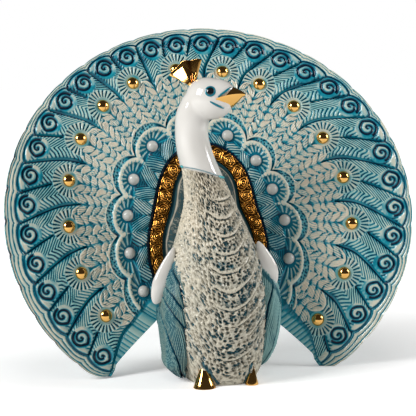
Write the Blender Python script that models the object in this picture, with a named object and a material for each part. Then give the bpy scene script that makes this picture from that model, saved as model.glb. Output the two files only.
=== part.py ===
# Peacock figurine: a standing bird in front of its raised tail, one glazed ceramic casting.
# Metres, +Z up. The bird looks along -Y and +X is on the viewer's right.
# The origin lies on the table, under the bird's own middle.

import math

import bmesh
import bpy
import numpy as np
from mathutils import Matrix, Vector

# Tail fan

FAN_RADIUS = 0.1071
FAN_SPREAD = math.radians(145.0)
FAN_LEAN = math.radians(14.0)
FAN_CENTRE_HEIGHT = 0.0824
FAN_CENTRE_BACK = 0.0275
FAN_FLARE = math.radians(6.0)
CORNER_ROUND = 0.0030
EDGE_RISE = -0.0005
SIDE_CURL = 0.0229
TOP_CURL = 0.0103
FAN_WALL = 0.0062
RIM_WALL = 0.0040

# Feathers

FEATHERS = 32.5
COLUMNS_PER_FEATHER = 4
FEATHER_GROOVE = 0.0012
FEATHER_TIP = 0.0054
TIP_SCALLOP = 0.0024
RIM_SCALLOP = 0.0010
RIM_BORDER = 0.0096
SPIRAL_RING = FAN_RADIUS - RIM_BORDER

# Ornaments on the tail

DOMES = 16
DOME_GAP = 0.0180
DOME_RING = SPIRAL_RING - DOME_GAP
DOME_RADIUS = 0.0037
SUNBURST_RADIUS = 0.0078
SUNBURST_RISE = 0.0007
PEARLS = 12
PEARL_GAP = 0.0306
PEARL_RING = DOME_RING - PEARL_GAP
PEARL_PITCH = math.radians(27.4)
PEARL_RADIUS = 0.0031
ARCH_RISE = 0.0012
BAND_GAP = 0.0113
BAND_RING = PEARL_RING - BAND_GAP
BAND_WIDTH = 0.0085
BAND_RISE = 0.0015
MANTLE_RISE = 0.0110

# Bird

BODY_HEIGHT = 0.109
BODY_HALF_WIDTH = 0.0265
BREAST_DEPTH = 0.0300
RUMP_DEPTH = 0.0370
NECK_LENGTH = 0.041
NECK_RADIUS = 0.0093
HEAD_HALF_LENGTH = 0.0126
HEAD_HALF_WIDTH = 0.0092
HEAD_HALF_HEIGHT = 0.0106
HEAD_TURN = math.radians(60.0)
HEAD_NOD = math.radians(16.0)
BEAK_LENGTH = 0.0124
BEAK_RADIUS = 0.0068
CREST_LENGTH = 0.0150
CREST_THICKNESS = 0.0066
CREST_LOBES = 3
CREST_FRONT = math.radians(-15.0)
CREST_REAR = math.radians(66.0)
WING_HEIGHT = 0.066
WING_HALF_DEPTH = 0.021
WING_OUTER = 0.0325
SHOULDER_LENGTH = 0.031
SHOULDER_RADIUS = 0.0056
FOOT_WIDTH = 0.0105
FOOT_HEIGHT = 0.0125
FOOT_SPACING = 0.0250
FAR_FOOT_SHARE = 0.60

# A clean scene, one collection for the figure and one for the pieces joined into it

for old in list(bpy.data.objects):
    bpy.data.objects.remove(old, do_unlink=True)

figure = bpy.data.collections.new("peacock_figurine")
bpy.context.scene.collection.children.link(figure)
joined = bpy.data.collections.new("joined_pieces")
bpy.context.scene.collection.children.link(joined)


def file_in(obj, collection):
    """Move an object from wherever it was linked into one collection."""
    for other in list(obj.users_collection):
        other.objects.unlink(obj)
    collection.objects.link(obj)
    return obj


def solid(name, bm, collection):
    """Turn a finished bmesh into an object with its faces pointing out."""
    bmesh.ops.recalc_face_normals(bm, faces=bm.faces)
    mesh = bpy.data.meshes.new(name)
    bm.to_mesh(mesh)
    bm.free()
    obj = bpy.data.objects.new(name, mesh)
    collection.objects.link(obj)
    return obj


def loft(name, rings, collection):
    """Skin a stack of closed rings and close both ends with a flat face."""
    bm = bmesh.new()
    rows = [[bm.verts.new(point) for point in ring] for ring in rings]
    count = len(rows[0])
    for lower, upper in zip(rows, rows[1:]):
        for i in range(count):
            j = (i + 1) % count
            bm.faces.new((lower[i], lower[j], upper[j], upper[i]))
    bm.faces.new(list(reversed(rows[0])))
    bm.faces.new(rows[-1])
    bmesh.ops.triangulate(bm, faces=[f for f in bm.faces if len(f.verts) == 4])
    return solid(name, bm, collection)


def smooth_table(stations, heights):
    """Read a profile of a few stations at many heights, with rounded turns."""
    table = np.array(stations)
    knots = table[:, 0]
    slopes = np.gradient(table[:, 1:], knots, axis=0)
    rows = []
    for h in heights:
        k = min(max(int(np.searchsorted(knots, h)) - 1, 0), len(knots) - 2)
        span = knots[k + 1] - knots[k]
        s = (h - knots[k]) / span
        rows.append(
            (2 * s**3 - 3 * s**2 + 1) * table[k, 1:]
            + (s**3 - 2 * s**2 + s) * span * slopes[k]
            + (3 * s**2 - 2 * s**3) * table[k + 1, 1:]
            + (s**3 - s**2) * span * slopes[k + 1]
        )
    return rows


# Rings of the tail: each is an oval, given by its mean radius and how it departs from round


def oval(mean, angle, top, waist, side, slant, brow=0.0, hip=0.0):
    return mean * (
        1.0
        + top * math.cos(angle)
        + waist * math.cos(2 * angle)
        + side * math.sin(angle)
        + slant * math.sin(2 * angle)
        + brow * math.cos(3 * angle)
        + hip * math.sin(3 * angle)
    )


def spiral_ring(angle):
    return oval(SPIRAL_RING, angle, 0.010, -0.0215, 0.003, 0.0)


def dome_ring(angle):
    return oval(DOME_RING, angle, -0.016, 0.0365, -0.003, -0.024)


def pearl_ring(angle):
    return oval(PEARL_RING, angle, -0.166, 0.137, -0.043, -0.039)


def band_ring(angle):
    return oval(BAND_RING, angle, -0.213, 0.234, -0.043, 0.0)


def rim_ring(angle):
    whole = oval(FAN_RADIUS, angle, -0.0076, -0.0164, -0.0011, -0.0009, 0.0054, 0.0098)
    corner = max(0.0, abs(angle) - FAN_SPREAD + math.radians(6.0)) / math.radians(6.0)
    return whole - CORNER_ROUND * corner**2


def fan_point(angle, radius, rise):
    """A point on the dished, leaning fan; rise is measured off its front surface."""

    def surface(x, z):
        y = TOP_CURL * (z / FAN_RADIUS) ** 2 - SIDE_CURL * (x / FAN_RADIUS) ** 2
        return Vector((x, y, z))

    x = radius * math.sin(angle)
    z = radius * math.cos(angle)
    slope_x = -2 * SIDE_CURL * x / FAN_RADIUS**2
    slope_z = 2 * TOP_CURL * z / FAN_RADIUS**2
    normal = Vector((slope_x, -1.0, slope_z)).normalized()
    point = surface(x, z) + normal * rise
    lean = Matrix.Rotation(-FAN_LEAN, 4, "X")
    return lean @ point + Vector((0.0, FAN_CENTRE_BACK, FAN_CENTRE_HEIGHT))


def fan_normal(angle, radius):
    """The direction that the fan's front faces at a place on it."""
    return (fan_point(angle, radius, 0.001) - fan_point(angle, radius, 0.0)).normalized()


# Feathers are counted along the rim from the lower left tip; a whole number is a groove


def droop(angle):
    """How far a feather's root is turned from its tip."""
    return math.radians(
        -1.6 - 8.0 * math.sin(angle) - 1.2 * math.sin(2 * angle) - 1.9 * math.cos(angle)
    )


def feather_angle(feather, radius):
    tip = -FAN_SPREAD + 2 * FAN_SPREAD * feather / FEATHERS
    share = (spiral_ring(tip) - radius) / (spiral_ring(tip) - dome_ring(tip))
    return tip + droop(tip) * min(max(share, -0.1), 1.0)


def edge_angle(radius, side):
    """The fan's lower edge, which runs in under the bird."""
    inward = (1.0 - radius / FAN_RADIUS) / 0.4
    plain = min(FAN_SPREAD + FAN_FLARE * inward**2, 0.95 * math.pi)
    last = side * feather_angle(0.0 if side < 0 else FEATHERS, radius)
    return side * max(plain, last + math.radians(0.8))


def dome_feather(k):
    """The feather count at which dome k sits: every second groove, with one odd three."""
    middle = DOMES // 2
    if k < middle:
        return 2.0 * k - 1.0
    if k == middle:
        return 2.0 * k - 0.5
    return 2.0 * k


def dome_angle(k):
    feather = dome_feather(k)
    return feather_angle(feather, DOME_RING * 0.9)


def pearl_angle(k):
    step = k - (PEARLS + 1) / 2
    squeeze = math.radians(0.06) * step**3
    return math.radians(3.5) + PEARL_PITCH * step - squeeze


# Relief of the fan's front


def arc(feather):
    """One at a feather's middle, nought at its grooves."""
    across = 2.0 * (feather - math.floor(feather)) - 1.0
    return 1.0 - across**2


def arch(angle):
    """One in line with a pearl, nought halfway between two."""
    nearest = min(abs(angle - pearl_angle(k)) for k in range(0, PEARLS + 2))
    return max(0.0, math.cos(math.pi * nearest / PEARL_PITCH)) ** 0.8


def sunburst(angle, radius):
    """The low dished disc round each dome."""
    rise = 0.0
    for k in range(1, DOMES + 1):
        centre = dome_angle(k)
        across = (angle - centre) * radius
        along = radius - dome_ring(centre)
        distance = math.hypot(across, along)
        if distance < SUNBURST_RADIUS * 1.15:
            rise = SUNBURST_RISE * (distance / SUNBURST_RADIUS - 0.4)
    return rise


def front_rows():
    """Radius and relief of each ring of the front, from the middle out; True means fine."""
    mm = 0.001
    full = FEATHER_GROOVE
    return [
        (False, lambda a, f: (0.05 * band_ring(a), MANTLE_RISE)),
        (False, lambda a, f: (0.55 * (band_ring(a) - BAND_WIDTH), 0.72 * MANTLE_RISE)),
        (False, lambda a, f: (0.85 * (band_ring(a) - BAND_WIDTH), 0.32 * MANTLE_RISE)),
        (False, lambda a, f: (band_ring(a) - BAND_WIDTH - 0.8 * mm, -0.6 * mm)),
        (False, lambda a, f: (band_ring(a) - BAND_WIDTH, BAND_RISE)),
        (False, lambda a, f: (band_ring(a), BAND_RISE)),
        (False, lambda a, f: (band_ring(a) + 1.4 * mm, -1.0 * mm)),
        (False, lambda a, f: (pearl_ring(a) - 4.6 * mm, 1.1 * mm * (1 - arch(a)))),
        (False, lambda a, f: (pearl_ring(a), -0.9 * mm)),
        (False, lambda a, f: (pearl_ring(a) + 7.0 * mm * (0.55 + 0.45 * arch(a)), ARCH_RISE * arch(a))),
        (False, lambda a, f: (pearl_ring(a) + 10.5 * mm, -0.8 * mm + 0.8 * mm * arch(a))),
        (True, lambda a, f: (0.5 * (pearl_ring(a) + dome_ring(a)) + 2.0 * mm, 0.3 * mm)),
        (True, lambda a, f: (dome_ring(a) - SUNBURST_RADIUS, 0.3 * mm * arc(f))),
        (True, lambda a, f: (dome_ring(a), sunburst(a, dome_ring(a)))),
        (True, lambda a, f: (dome_ring(a) + SUNBURST_RADIUS, -0.6 * full + full * arc(f))),
        (True, lambda a, f: (spiral_ring(a) - 3.2 * mm, -full + 1.6 * full * arc(f))),
        (True, lambda a, f: (spiral_ring(a) + FEATHER_TIP - TIP_SCALLOP * (1 - arc(f)), -full + 1.4 * full * arc(f))),
        (True, lambda a, f: (rim_ring(a) - 1.5 * mm - RIM_SCALLOP * (1 - arc(f)), -0.5 * full + 0.4 * full * arc(f))),
        (True, lambda a, f: (rim_ring(a) - RIM_SCALLOP * (1 - arc(f)), -1.2 * mm)),
    ]


def back_rows():
    """Radius and depth of each ring of the back, from the rim in."""
    middle = 0.5 * (RIM_WALL + FAN_WALL)
    return [
        (True, lambda a, f: (rim_ring(a) - 0.0004 - RIM_SCALLOP * (1 - arc(f)), -RIM_WALL)),
        (False, lambda a, f: (0.90 * rim_ring(a), -middle)),
        (False, lambda a, f: (0.68 * rim_ring(a), -FAN_WALL)),
        (False, lambda a, f: (0.42 * rim_ring(a), -FAN_WALL)),
        (False, lambda a, f: (0.05 * band_ring(a), -FAN_WALL)),
    ]


def fan_columns():
    """Feather counts across the fan, with None for the plain strip at each lower edge."""
    steps = int(round(FEATHERS * COLUMNS_PER_FEATHER / 2)) * 2
    return [None] + [FEATHERS * i / steps for i in range(steps + 1)] + [None]


def fan_ring(bm, row, columns):
    """The vertices of one ring; a coarse ring keeps every second column."""
    fine, rule = row
    verts = []
    for i in range(0, len(columns), 1 if fine else 2):
        feather = columns[i]
        if feather is None:
            side = -1.0 if i == 0 else 1.0
            angle = side * FAN_SPREAD
            radius, rise = rule(angle, 0.0)
            rise = min(rise, EDGE_RISE)
            angle = edge_angle(radius, side)
        else:
            angle = -FAN_SPREAD + 2 * FAN_SPREAD * feather / FEATHERS
            for settle in range(3):
                radius, rise = rule(angle, feather)
                angle = feather_angle(feather, radius)
        verts.append(bm.verts.new(fan_point(angle, radius, rise)))
    return verts


def stitch(bm, a, b):
    """Triangles between two rings that have as many columns, or half as many."""
    if len(a) < len(b):
        a, b = b, a
    if len(a) == len(b):
        for i in range(len(a) - 1):
            bm.faces.new((a[i], a[i + 1], b[i + 1]))
            bm.faces.new((a[i], b[i + 1], b[i]))
        return
    for i in range(len(b) - 1):
        bm.faces.new((a[2 * i], a[2 * i + 1], b[i]))
        bm.faces.new((a[2 * i + 1], a[2 * i + 2], b[i + 1]))
        bm.faces.new((a[2 * i + 1], b[i + 1], b[i]))


def close_edge(bm, front, back):
    """Triangles across the fan's lower edge, between its front and its back chain."""
    i = 0
    j = 0
    while i < len(front) - 1 or j < len(back) - 1:
        gap_i = math.inf
        gap_j = math.inf
        if i < len(front) - 1:
            gap_i = (front[i + 1].co - back[j].co).length
        if j < len(back) - 1:
            gap_j = (front[i].co - back[j + 1].co).length
        if gap_i <= gap_j:
            bm.faces.new((front[i], front[i + 1], back[j]))
            i += 1
        else:
            bm.faces.new((front[i], back[j + 1], back[j]))
            j += 1


def make_fan():
    bm = bmesh.new()
    columns = fan_columns()
    front = [fan_ring(bm, row, columns) for row in front_rows()]
    back = [fan_ring(bm, row, columns) for row in back_rows()]
    cycle = front + back
    for here, there in zip(cycle, cycle[1:] + cycle[:1]):
        stitch(bm, here, there)
    inward = list(reversed(back))
    for end in (0, -1):
        close_edge(bm, [ring[end] for ring in front], [ring[end] for ring in inward])
    return solid("fan", bm, joined)


def make_buttons(name, places, radius, sink):
    """Low round buttons set into the fan's front, all in one object."""
    bm = bmesh.new()
    for angle, distance in places:
        normal = fan_normal(angle, distance)
        turn = normal.to_track_quat("Z", "Y").to_matrix().to_4x4()
        place = Matrix.Translation(fan_point(angle, distance, -sink)) @ turn
        bmesh.ops.create_uvsphere(bm, u_segments=8, v_segments=4, radius=radius, matrix=place)
    bmesh.ops.triangulate(bm, faces=bm.faces)
    return solid(name, bm, joined)


# Body, neck and the root of the head are one loft of level rings


def body_rings():
    w = BODY_HALF_WIDTH
    f = BREAST_DEPTH
    r = RUMP_DEPTH
    n = NECK_RADIUS
    # height share of the body, middle, breast, back, half width, squareness
    body = [
        (-0.010, 0.000 * w, 0.66 * f, 0.98 * r, 0.70 * w, 0.72),
        (0.050, 0.000 * w, 0.80 * f, 1.00 * r, 0.80 * w, 0.75),
        (0.140, -0.020 * w, 0.92 * f, 0.97 * r, 0.91 * w, 0.85),
        (0.290, -0.030 * w, 1.00 * f, 0.90 * r, 1.00 * w, 0.95),
        (0.420, -0.040 * w, 0.98 * f, 0.84 * r, 1.00 * w, 1.00),
        (0.530, -0.060 * w, 0.88 * f, 0.80 * r, 0.93 * w, 1.00),
        (0.625, -0.087 * w, 0.76 * f, 0.72 * r, 0.83 * w, 1.00),
        (0.735, -0.140 * w, 0.61 * f, 0.56 * r, 0.665 * w, 1.00),
        (0.825, -0.190 * w, 0.49 * f, 0.40 * r, 0.54 * w, 1.00),
        (0.900, -0.255 * w, 0.42 * f, 0.32 * r, 0.46 * w, 1.00),
        (1.000, -0.377 * w, 1.10 * n, 1.10 * n, 1.08 * n, 1.00),
    ]
    neck = [
        (0.25, -0.500 * w, 1.02 * n, 0.98 * n, 0.97 * n, 1.00),
        (0.50, -0.560 * w, 0.97 * n, 0.90 * n, 0.90 * n, 1.00),
        (0.72, -0.525 * w, 1.03 * n, 0.82 * n, 0.95 * n, 1.00),
        (0.95, -0.400 * w, 1.08 * n, 0.55 * n, 0.92 * n, 1.00),
    ]
    stations = [(row[0] * BODY_HEIGHT,) + row[1:] for row in body]
    stations += [(BODY_HEIGHT + row[0] * NECK_LENGTH,) + row[1:] for row in neck]
    low = stations[0][0]
    high = stations[-1][0]
    heights = [low + (high - low) * i / 26 for i in range(27)]
    rings = []
    for height, row in zip(heights, smooth_table(stations, heights)):
        middle, front, back, half, square = row
        ring = []
        for i in range(24):
            turn = 2 * math.pi * i / 24
            c = math.copysign(abs(math.cos(turn)) ** square, math.cos(turn))
            s = math.copysign(abs(math.sin(turn)) ** square, math.sin(turn))
            x = middle + half * c
            y = 0.5 * (back - front) + 0.5 * (front + back) * s
            ring.append(Vector((x, y, height)))
        rings.append(ring)
    return rings


def make_wing(name, side, fullness):
    """A folded wing: a long leaf that stands off the flank; a full one is broad at its foot."""
    # height share, outer reach share, thickness, half depth share
    profile = [
        (0.00, 0.52 + 0.22 * fullness, 0.0030, 0.24 + 0.30 * fullness),
        (0.06, 0.74 + 0.15 * fullness, 0.0060, 0.52 + 0.22 * fullness),
        (0.16, 0.88 + 0.05 * fullness, 0.0080, 0.76 + 0.10 * fullness),
        (0.30, 0.965, 0.0095, 0.93),
        (0.50, 1.00, 0.0105, 1.00),
        (0.68, 0.97, 0.0100, 0.90),
        (0.84, 0.86, 0.0085, 0.66),
        (1.00, 0.66, 0.0045, 0.28),
    ]
    heights = [i / 12 for i in range(13)]
    rings = []
    for share, row in zip(heights, smooth_table(profile, heights)):
        reach, thick, depth = row
        ring = []
        for i in range(14):
            turn = 2 * math.pi * i / 14
            x = side * (reach * WING_OUTER - thick + thick * math.cos(turn))
            y = 0.0025 + WING_HALF_DEPTH * depth * math.sin(turn)
            ring.append(Vector((x, y, 0.0025 + share * WING_HEIGHT)))
        rings.append(ring)
    return loft(name, rings, joined)


def make_ball(name, centre, axis, half_length, half_width, half_height, segments, rings):
    """A ball stretched along an axis and turned to it."""
    bpy.ops.mesh.primitive_uv_sphere_add(segments=segments, ring_count=rings, radius=1.0)
    ball = bpy.context.active_object
    ball.name = name
    turn = Vector(axis).to_track_quat("Z", "Y").to_matrix().to_4x4()
    size = Matrix.Diagonal((half_width, half_height, half_length, 1.0))
    ball.data.transform(Matrix.Translation(centre) @ turn @ size)
    return file_in(ball, joined)


def make_head():
    look = Vector((math.sin(HEAD_TURN), -math.cos(HEAD_TURN), 0.0))
    top = BODY_HEIGHT + NECK_LENGTH
    centre = Vector((-0.25 * BODY_HALF_WIDTH, -0.0064, top - 0.0035))
    nod = Vector((look.x, look.y, -math.tan(HEAD_NOD))).normalized()
    head = make_ball(
        "head", centre, nod, HEAD_HALF_LENGTH, HEAD_HALF_WIDTH, HEAD_HALF_HEIGHT, 16, 10
    )
    bpy.ops.mesh.primitive_cone_add(
        vertices=10, radius1=BEAK_RADIUS, radius2=0.0007, depth=BEAK_LENGTH
    )
    beak = bpy.context.active_object
    beak.name = "beak"
    point = Vector((look.x, look.y, 0.17)).normalized()
    root = centre + look * 0.50 * HEAD_HALF_LENGTH
    turn = point.to_track_quat("Z", "Y").to_matrix().to_4x4()
    slim = Matrix.Diagonal((0.78, 1.0, 1.0, 1.0))
    beak.data.transform(Matrix.Translation(root + point * BEAK_LENGTH / 2) @ turn @ slim)
    file_in(beak, joined)
    base = centre - look * (HEAD_HALF_LENGTH * 0.64) + Vector((0.0, 0.0, HEAD_HALF_HEIGHT * 0.50))
    return [head, beak, make_crest(base, look)]


def make_crest(base, look):
    """A puffed fan of lobes that opens upward and back from one root."""
    across = Vector((look.y, -look.x, 0.0))
    steps = 4 * CREST_LOBES
    rings = []
    for k in range(steps + 1):
        share = k / steps
        tilt = CREST_FRONT + (CREST_REAR - CREST_FRONT) * share
        lobe = abs(math.sin(CREST_LOBES * math.pi * share))
        way = Vector((0.0, 0.0, math.cos(tilt))) - look * math.sin(tilt)
        outer = CREST_LENGTH * (0.86 + 0.14 * lobe)
        inner = 0.14 * CREST_LENGTH
        ring = []
        for i in range(10):
            turn = 2 * math.pi * i / 10
            along = inner + (outer - inner) * (0.5 - 0.5 * math.cos(turn))
            thick = 0.5 * CREST_THICKNESS * (0.45 + 0.55 * lobe) * math.sin(turn)
            ring.append(base + way * along + across * thick)
        rings.append(ring)
    return loft("crest", rings, joined)


def make_foot(name, side, share):
    """A toe that shows under the breast: a low round lip with a pointed upper side."""
    lip = 0.0030
    radius = share * FOOT_WIDTH / 2
    bpy.ops.mesh.primitive_cylinder_add(vertices=12, radius=radius, depth=FOOT_HEIGHT)
    foot = bpy.context.active_object
    foot.name = name
    for vert in foot.data.vertices:
        if vert.co.z > 0.0:
            vert.co.x *= 0.16
            vert.co.y = 0.20 * vert.co.y + 0.32 * radius
    bpy.ops.object.mode_set(mode="EDIT")
    bpy.ops.mesh.select_all(action="SELECT")
    bpy.ops.mesh.bisect(plane_co=(0.0, 0.0, lip - FOOT_HEIGHT / 2), plane_no=(0.0, 0.0, 1.0))
    bpy.ops.object.mode_set(mode="OBJECT")
    for vert in foot.data.vertices:
        if abs(vert.co.z - lip + FOOT_HEIGHT / 2) < 0.0001:
            vert.co.x *= 1.12
            vert.co.y *= 1.12
    front = 0.70 * BREAST_DEPTH - 0.4 * (FOOT_WIDTH / 2 - radius)
    foot.data.transform(Matrix.Translation((side * FOOT_SPACING / 2, -front, FOOT_HEIGHT / 2)))
    return file_in(foot, joined)


# Pieces joined into the figure

pieces = [make_fan()]
dome_places = [(dome_angle(k), dome_ring(dome_angle(k))) for k in range(1, DOMES + 1)]
pieces.append(make_buttons("domes", dome_places, DOME_RADIUS, 0.35 * DOME_RADIUS))
pearl_places = [(pearl_angle(k), pearl_ring(pearl_angle(k))) for k in range(1, PEARLS + 1)]
pieces.append(make_buttons("pearls", pearl_places, PEARL_RADIUS, 0.45 * PEARL_RADIUS))

rump_way = Matrix.Rotation(-0.6 * FAN_LEAN, 4, "X") @ Vector((0.0, 0.0, 1.0))
rump_centre = (0.0, 0.68 * RUMP_DEPTH, 0.52 * BODY_HEIGHT)
pieces.append(
    make_ball(
        "rump",
        rump_centre,
        rump_way,
        0.37 * BODY_HEIGHT,
        0.86 * BODY_HALF_WIDTH,
        0.42 * RUMP_DEPTH,
        18,
        10,
    )
)
sides = ((-1.0, "left", 1.0, 1.0), (1.0, "right", 0.0, FAR_FOOT_SHARE))
for side, label, fullness, foot_share in sides:
    pieces.append(make_wing("wing_" + label, side, fullness))
    middle = Vector((side * 0.865 * WING_OUTER, 0.0035, 0.82 * WING_HEIGHT))
    along = Vector((side * 0.36, -0.05, -1.0))
    pieces.append(
        make_ball(
            "shoulder_" + label,
            middle,
            along,
            SHOULDER_LENGTH / 2,
            SHOULDER_RADIUS,
            SHOULDER_RADIUS * 1.7,
            10,
            8,
        )
    )
    pieces.append(make_foot("foot_" + label, side, foot_share))
pieces.extend(make_head())

# The figure: everything grows out of the body, and the underside is cut flat at the table

peacock = loft("peacock", body_rings(), figure)
for piece in pieces:
    join = peacock.modifiers.new("join " + piece.name, "BOOLEAN")
    join.operation = "UNION"
    join.solver = "EXACT"
    join.object = piece
    piece.hide_render = True
    piece.display_type = "WIRE"

bpy.ops.mesh.primitive_cube_add(size=1.0)
table = bpy.context.active_object
table.name = "table_cut"
table.data.transform(Matrix.Translation((0.0, 0.0, -0.05)) @ Matrix.Diagonal((0.5, 0.5, 0.1, 1.0)))
file_in(table, joined)
table.hide_render = True
table.display_type = "WIRE"
flatten = peacock.modifiers.new("flat underside", "BOOLEAN")
flatten.operation = "DIFFERENCE"
flatten.solver = "EXACT"
flatten.object = table

glaze = bpy.data.materials.new("crackled_turquoise_glaze")
glaze.use_nodes = True
shader = glaze.node_tree.nodes["Principled BSDF"]
shader.inputs["Base Color"].default_value = (0.42, 0.62, 0.66, 1.0)
shader.inputs["Roughness"].default_value = 0.22
shader.inputs["Metallic"].default_value = 0.0
peacock.data.materials.append(glaze)
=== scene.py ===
import math

import bmesh
import bpy
import numpy as np
from mathutils import Matrix, Vector


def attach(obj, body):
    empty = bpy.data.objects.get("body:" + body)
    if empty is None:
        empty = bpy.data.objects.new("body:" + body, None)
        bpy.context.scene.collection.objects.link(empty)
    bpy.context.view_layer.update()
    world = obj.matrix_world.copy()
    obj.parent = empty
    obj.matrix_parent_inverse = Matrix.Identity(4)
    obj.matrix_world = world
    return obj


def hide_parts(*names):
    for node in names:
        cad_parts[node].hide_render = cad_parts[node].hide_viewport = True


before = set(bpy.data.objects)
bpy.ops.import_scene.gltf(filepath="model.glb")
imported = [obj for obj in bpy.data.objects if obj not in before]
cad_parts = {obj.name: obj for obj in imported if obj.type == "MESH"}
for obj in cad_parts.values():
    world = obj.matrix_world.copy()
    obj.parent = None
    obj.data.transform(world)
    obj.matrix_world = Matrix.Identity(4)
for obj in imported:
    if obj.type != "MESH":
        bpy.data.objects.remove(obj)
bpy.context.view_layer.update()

# Camera, at the photograph's viewing angle: a little left of the bird's front and a little above it.
# Angles in radians, lengths in metres, and the frame is 416 pixels square.

FRAME_PIXELS = 416
FILM_WIDTH = 36.0
CAMERA_TURN = math.radians(-12.5)
CAMERA_RISE = math.radians(7.0)
CAMERA_DISTANCE = 0.700
FOCAL_PIXELS = 1.93 * 700.0
AIM_PIXEL = (219.6, 187.4)
AIM_HEIGHT = 0.100

back_way = Vector((
    math.sin(CAMERA_TURN) * math.cos(CAMERA_RISE),
    -math.cos(CAMERA_TURN) * math.cos(CAMERA_RISE),
    math.sin(CAMERA_RISE),
))
right_way = Vector((math.cos(CAMERA_TURN), math.sin(CAMERA_TURN), 0.0))
up_way = back_way.cross(right_way)
eye_point = Vector((0.0, 0.0, AIM_HEIGHT)) + back_way * CAMERA_DISTANCE
camera_lens = bpy.data.cameras.new("front_camera")
camera_lens.sensor_width = FILM_WIDTH
camera_lens.lens = FOCAL_PIXELS * FILM_WIDTH / FRAME_PIXELS
camera_lens.shift_x = (FRAME_PIXELS / 2 - AIM_PIXEL[0]) / FRAME_PIXELS
camera_lens.shift_y = (AIM_PIXEL[1] - FRAME_PIXELS / 2) / FRAME_PIXELS
camera_lens.clip_start = 0.01
camera = bpy.data.objects.new("front_camera", camera_lens)
bpy.context.scene.collection.objects.link(camera)
camera.matrix_world = Matrix((
    (right_way.x, up_way.x, back_way.x, eye_point.x),
    (right_way.y, up_way.y, back_way.y, eye_point.y),
    (right_way.z, up_way.z, back_way.z, eye_point.z),
    (0.0, 0.0, 0.0, 1.0),
))
bpy.context.scene.camera = camera

# Tail, front: one carved fan of feathers, cast in one with the bird. The relief is pressed in the
# mould, sharpened by hand, and a thin turquoise glaze is washed over a beige one so that it pools
# blue in every groove.

FAN_RADIUS = 0.1071
FAN_SPREAD = math.radians(145.0)
FAN_LEAN = math.radians(14.0)
FAN_CENTRE_HEIGHT = 0.0824
FAN_CENTRE_BACK = 0.0275
FAN_FLARE = math.radians(6.0)
CORNER_ROUND = 0.0030
CORNER_SPAN = math.radians(6.0)
SIDE_CURL = 0.0229
TOP_CURL = 0.0103
FAN_WALL = 0.0062
RIM_WALL = 0.0040
FEATHERS = 32.5
SPIRAL_RING = 0.0975
DOMES = 16
DOME_RING = 0.0795
DOME_RADIUS = 0.0037
PEARLS = 12
PEARL_RING = 0.0489
PEARL_PITCH = math.radians(27.4)
PEARL_RADIUS = 0.0031
BAND_RING = 0.0376
BAND_WIDTH = 0.0085
PAIR_GROOVES = [0, 2, 4, 6, 8, 10, 12, 14, 17, 19, 21, 23, 25, 27, 29, 31]

# what is placed is in metres, and the carving on it is in millimetres
TO_MM = 1000.0
TO_METRES = 0.001


def oval(mean, angle, top, waist, side, slant, brow=0.0, hip=0.0):
    """A ring's radius at an angle from straight up, as it departs from round."""
    return mean * (
        1.0
        + top * np.cos(angle)
        + waist * np.cos(2 * angle)
        + side * np.sin(angle)
        + slant * np.sin(2 * angle)
        + brow * np.cos(3 * angle)
        + hip * np.sin(3 * angle)
    )


def spiral_ring(angle):
    return oval(SPIRAL_RING, angle, 0.010, -0.0215, 0.003, 0.0)


def dome_ring(angle):
    return oval(DOME_RING, angle, -0.016, 0.0365, -0.003, -0.024)


def pearl_ring(angle):
    return oval(PEARL_RING, angle, -0.166, 0.137, -0.043, -0.039)


def band_ring(angle):
    return oval(BAND_RING, angle, -0.213, 0.234, -0.043, 0.0)


def rim_ring(angle):
    whole = oval(FAN_RADIUS, angle, -0.0076, -0.0164, -0.0011, -0.0009, 0.0054, 0.0098)
    corner = np.maximum(0.0, np.abs(angle) - FAN_SPREAD + CORNER_SPAN) / CORNER_SPAN
    return whole - CORNER_ROUND * corner**2


def on_fan(angle, radius, rise):
    """Places on the dished, leaning fan, a rise in front of its surface."""
    x = radius * np.sin(angle)
    z = radius * np.cos(angle)
    y = TOP_CURL * (z / FAN_RADIUS) ** 2 - SIDE_CURL * (x / FAN_RADIUS) ** 2
    slope_x = -2 * SIDE_CURL * x / FAN_RADIUS**2
    slope_z = 2 * TOP_CURL * z / FAN_RADIUS**2
    size = np.sqrt(slope_x**2 + slope_z**2 + 1.0)
    x = x + rise * slope_x / size
    y = y - rise / size
    z = z + rise * slope_z / size
    lean_cos = math.cos(FAN_LEAN)
    lean_sin = math.sin(FAN_LEAN)
    return x, y * lean_cos + z * lean_sin + FAN_CENTRE_BACK, z * lean_cos - y * lean_sin + FAN_CENTRE_HEIGHT


def tip_angle(feather):
    return -FAN_SPREAD + 2 * FAN_SPREAD * feather / FEATHERS


def droop(angle):
    """How far a feather's root is turned from its tip."""
    return np.radians(-1.6 - 8.0 * np.sin(angle) - 1.2 * np.sin(2 * angle) - 1.9 * np.cos(angle))


def feather_angle(feather, radius):
    """The angle of a feather count at a radius, as the feathers bow from tip to root."""
    tip = tip_angle(feather)
    share = np.clip((spiral_ring(tip) - radius) / (spiral_ring(tip) - dome_ring(tip)), -0.1, 1.25)
    share = np.where(share < 0.75, share, 1.0 - (1.25 - share) ** 2)
    return tip + droop(tip) * share


def edge_angle(radius, side):
    """The fan's lower edge, which runs in under the bird."""
    inward = (1.0 - radius / FAN_RADIUS) / 0.4
    plain = np.minimum(FAN_SPREAD + FAN_FLARE * inward**2, 0.95 * math.pi)
    last = side * feather_angle(0.0 if side < 0 else FEATHERS, radius)
    return side * np.maximum(plain, last + math.radians(0.8))


# how many feathers' breadth of plain strip runs along each lower edge
LEFT_STRIP = 0.5
RIGHT_STRIP = 0.25


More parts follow.
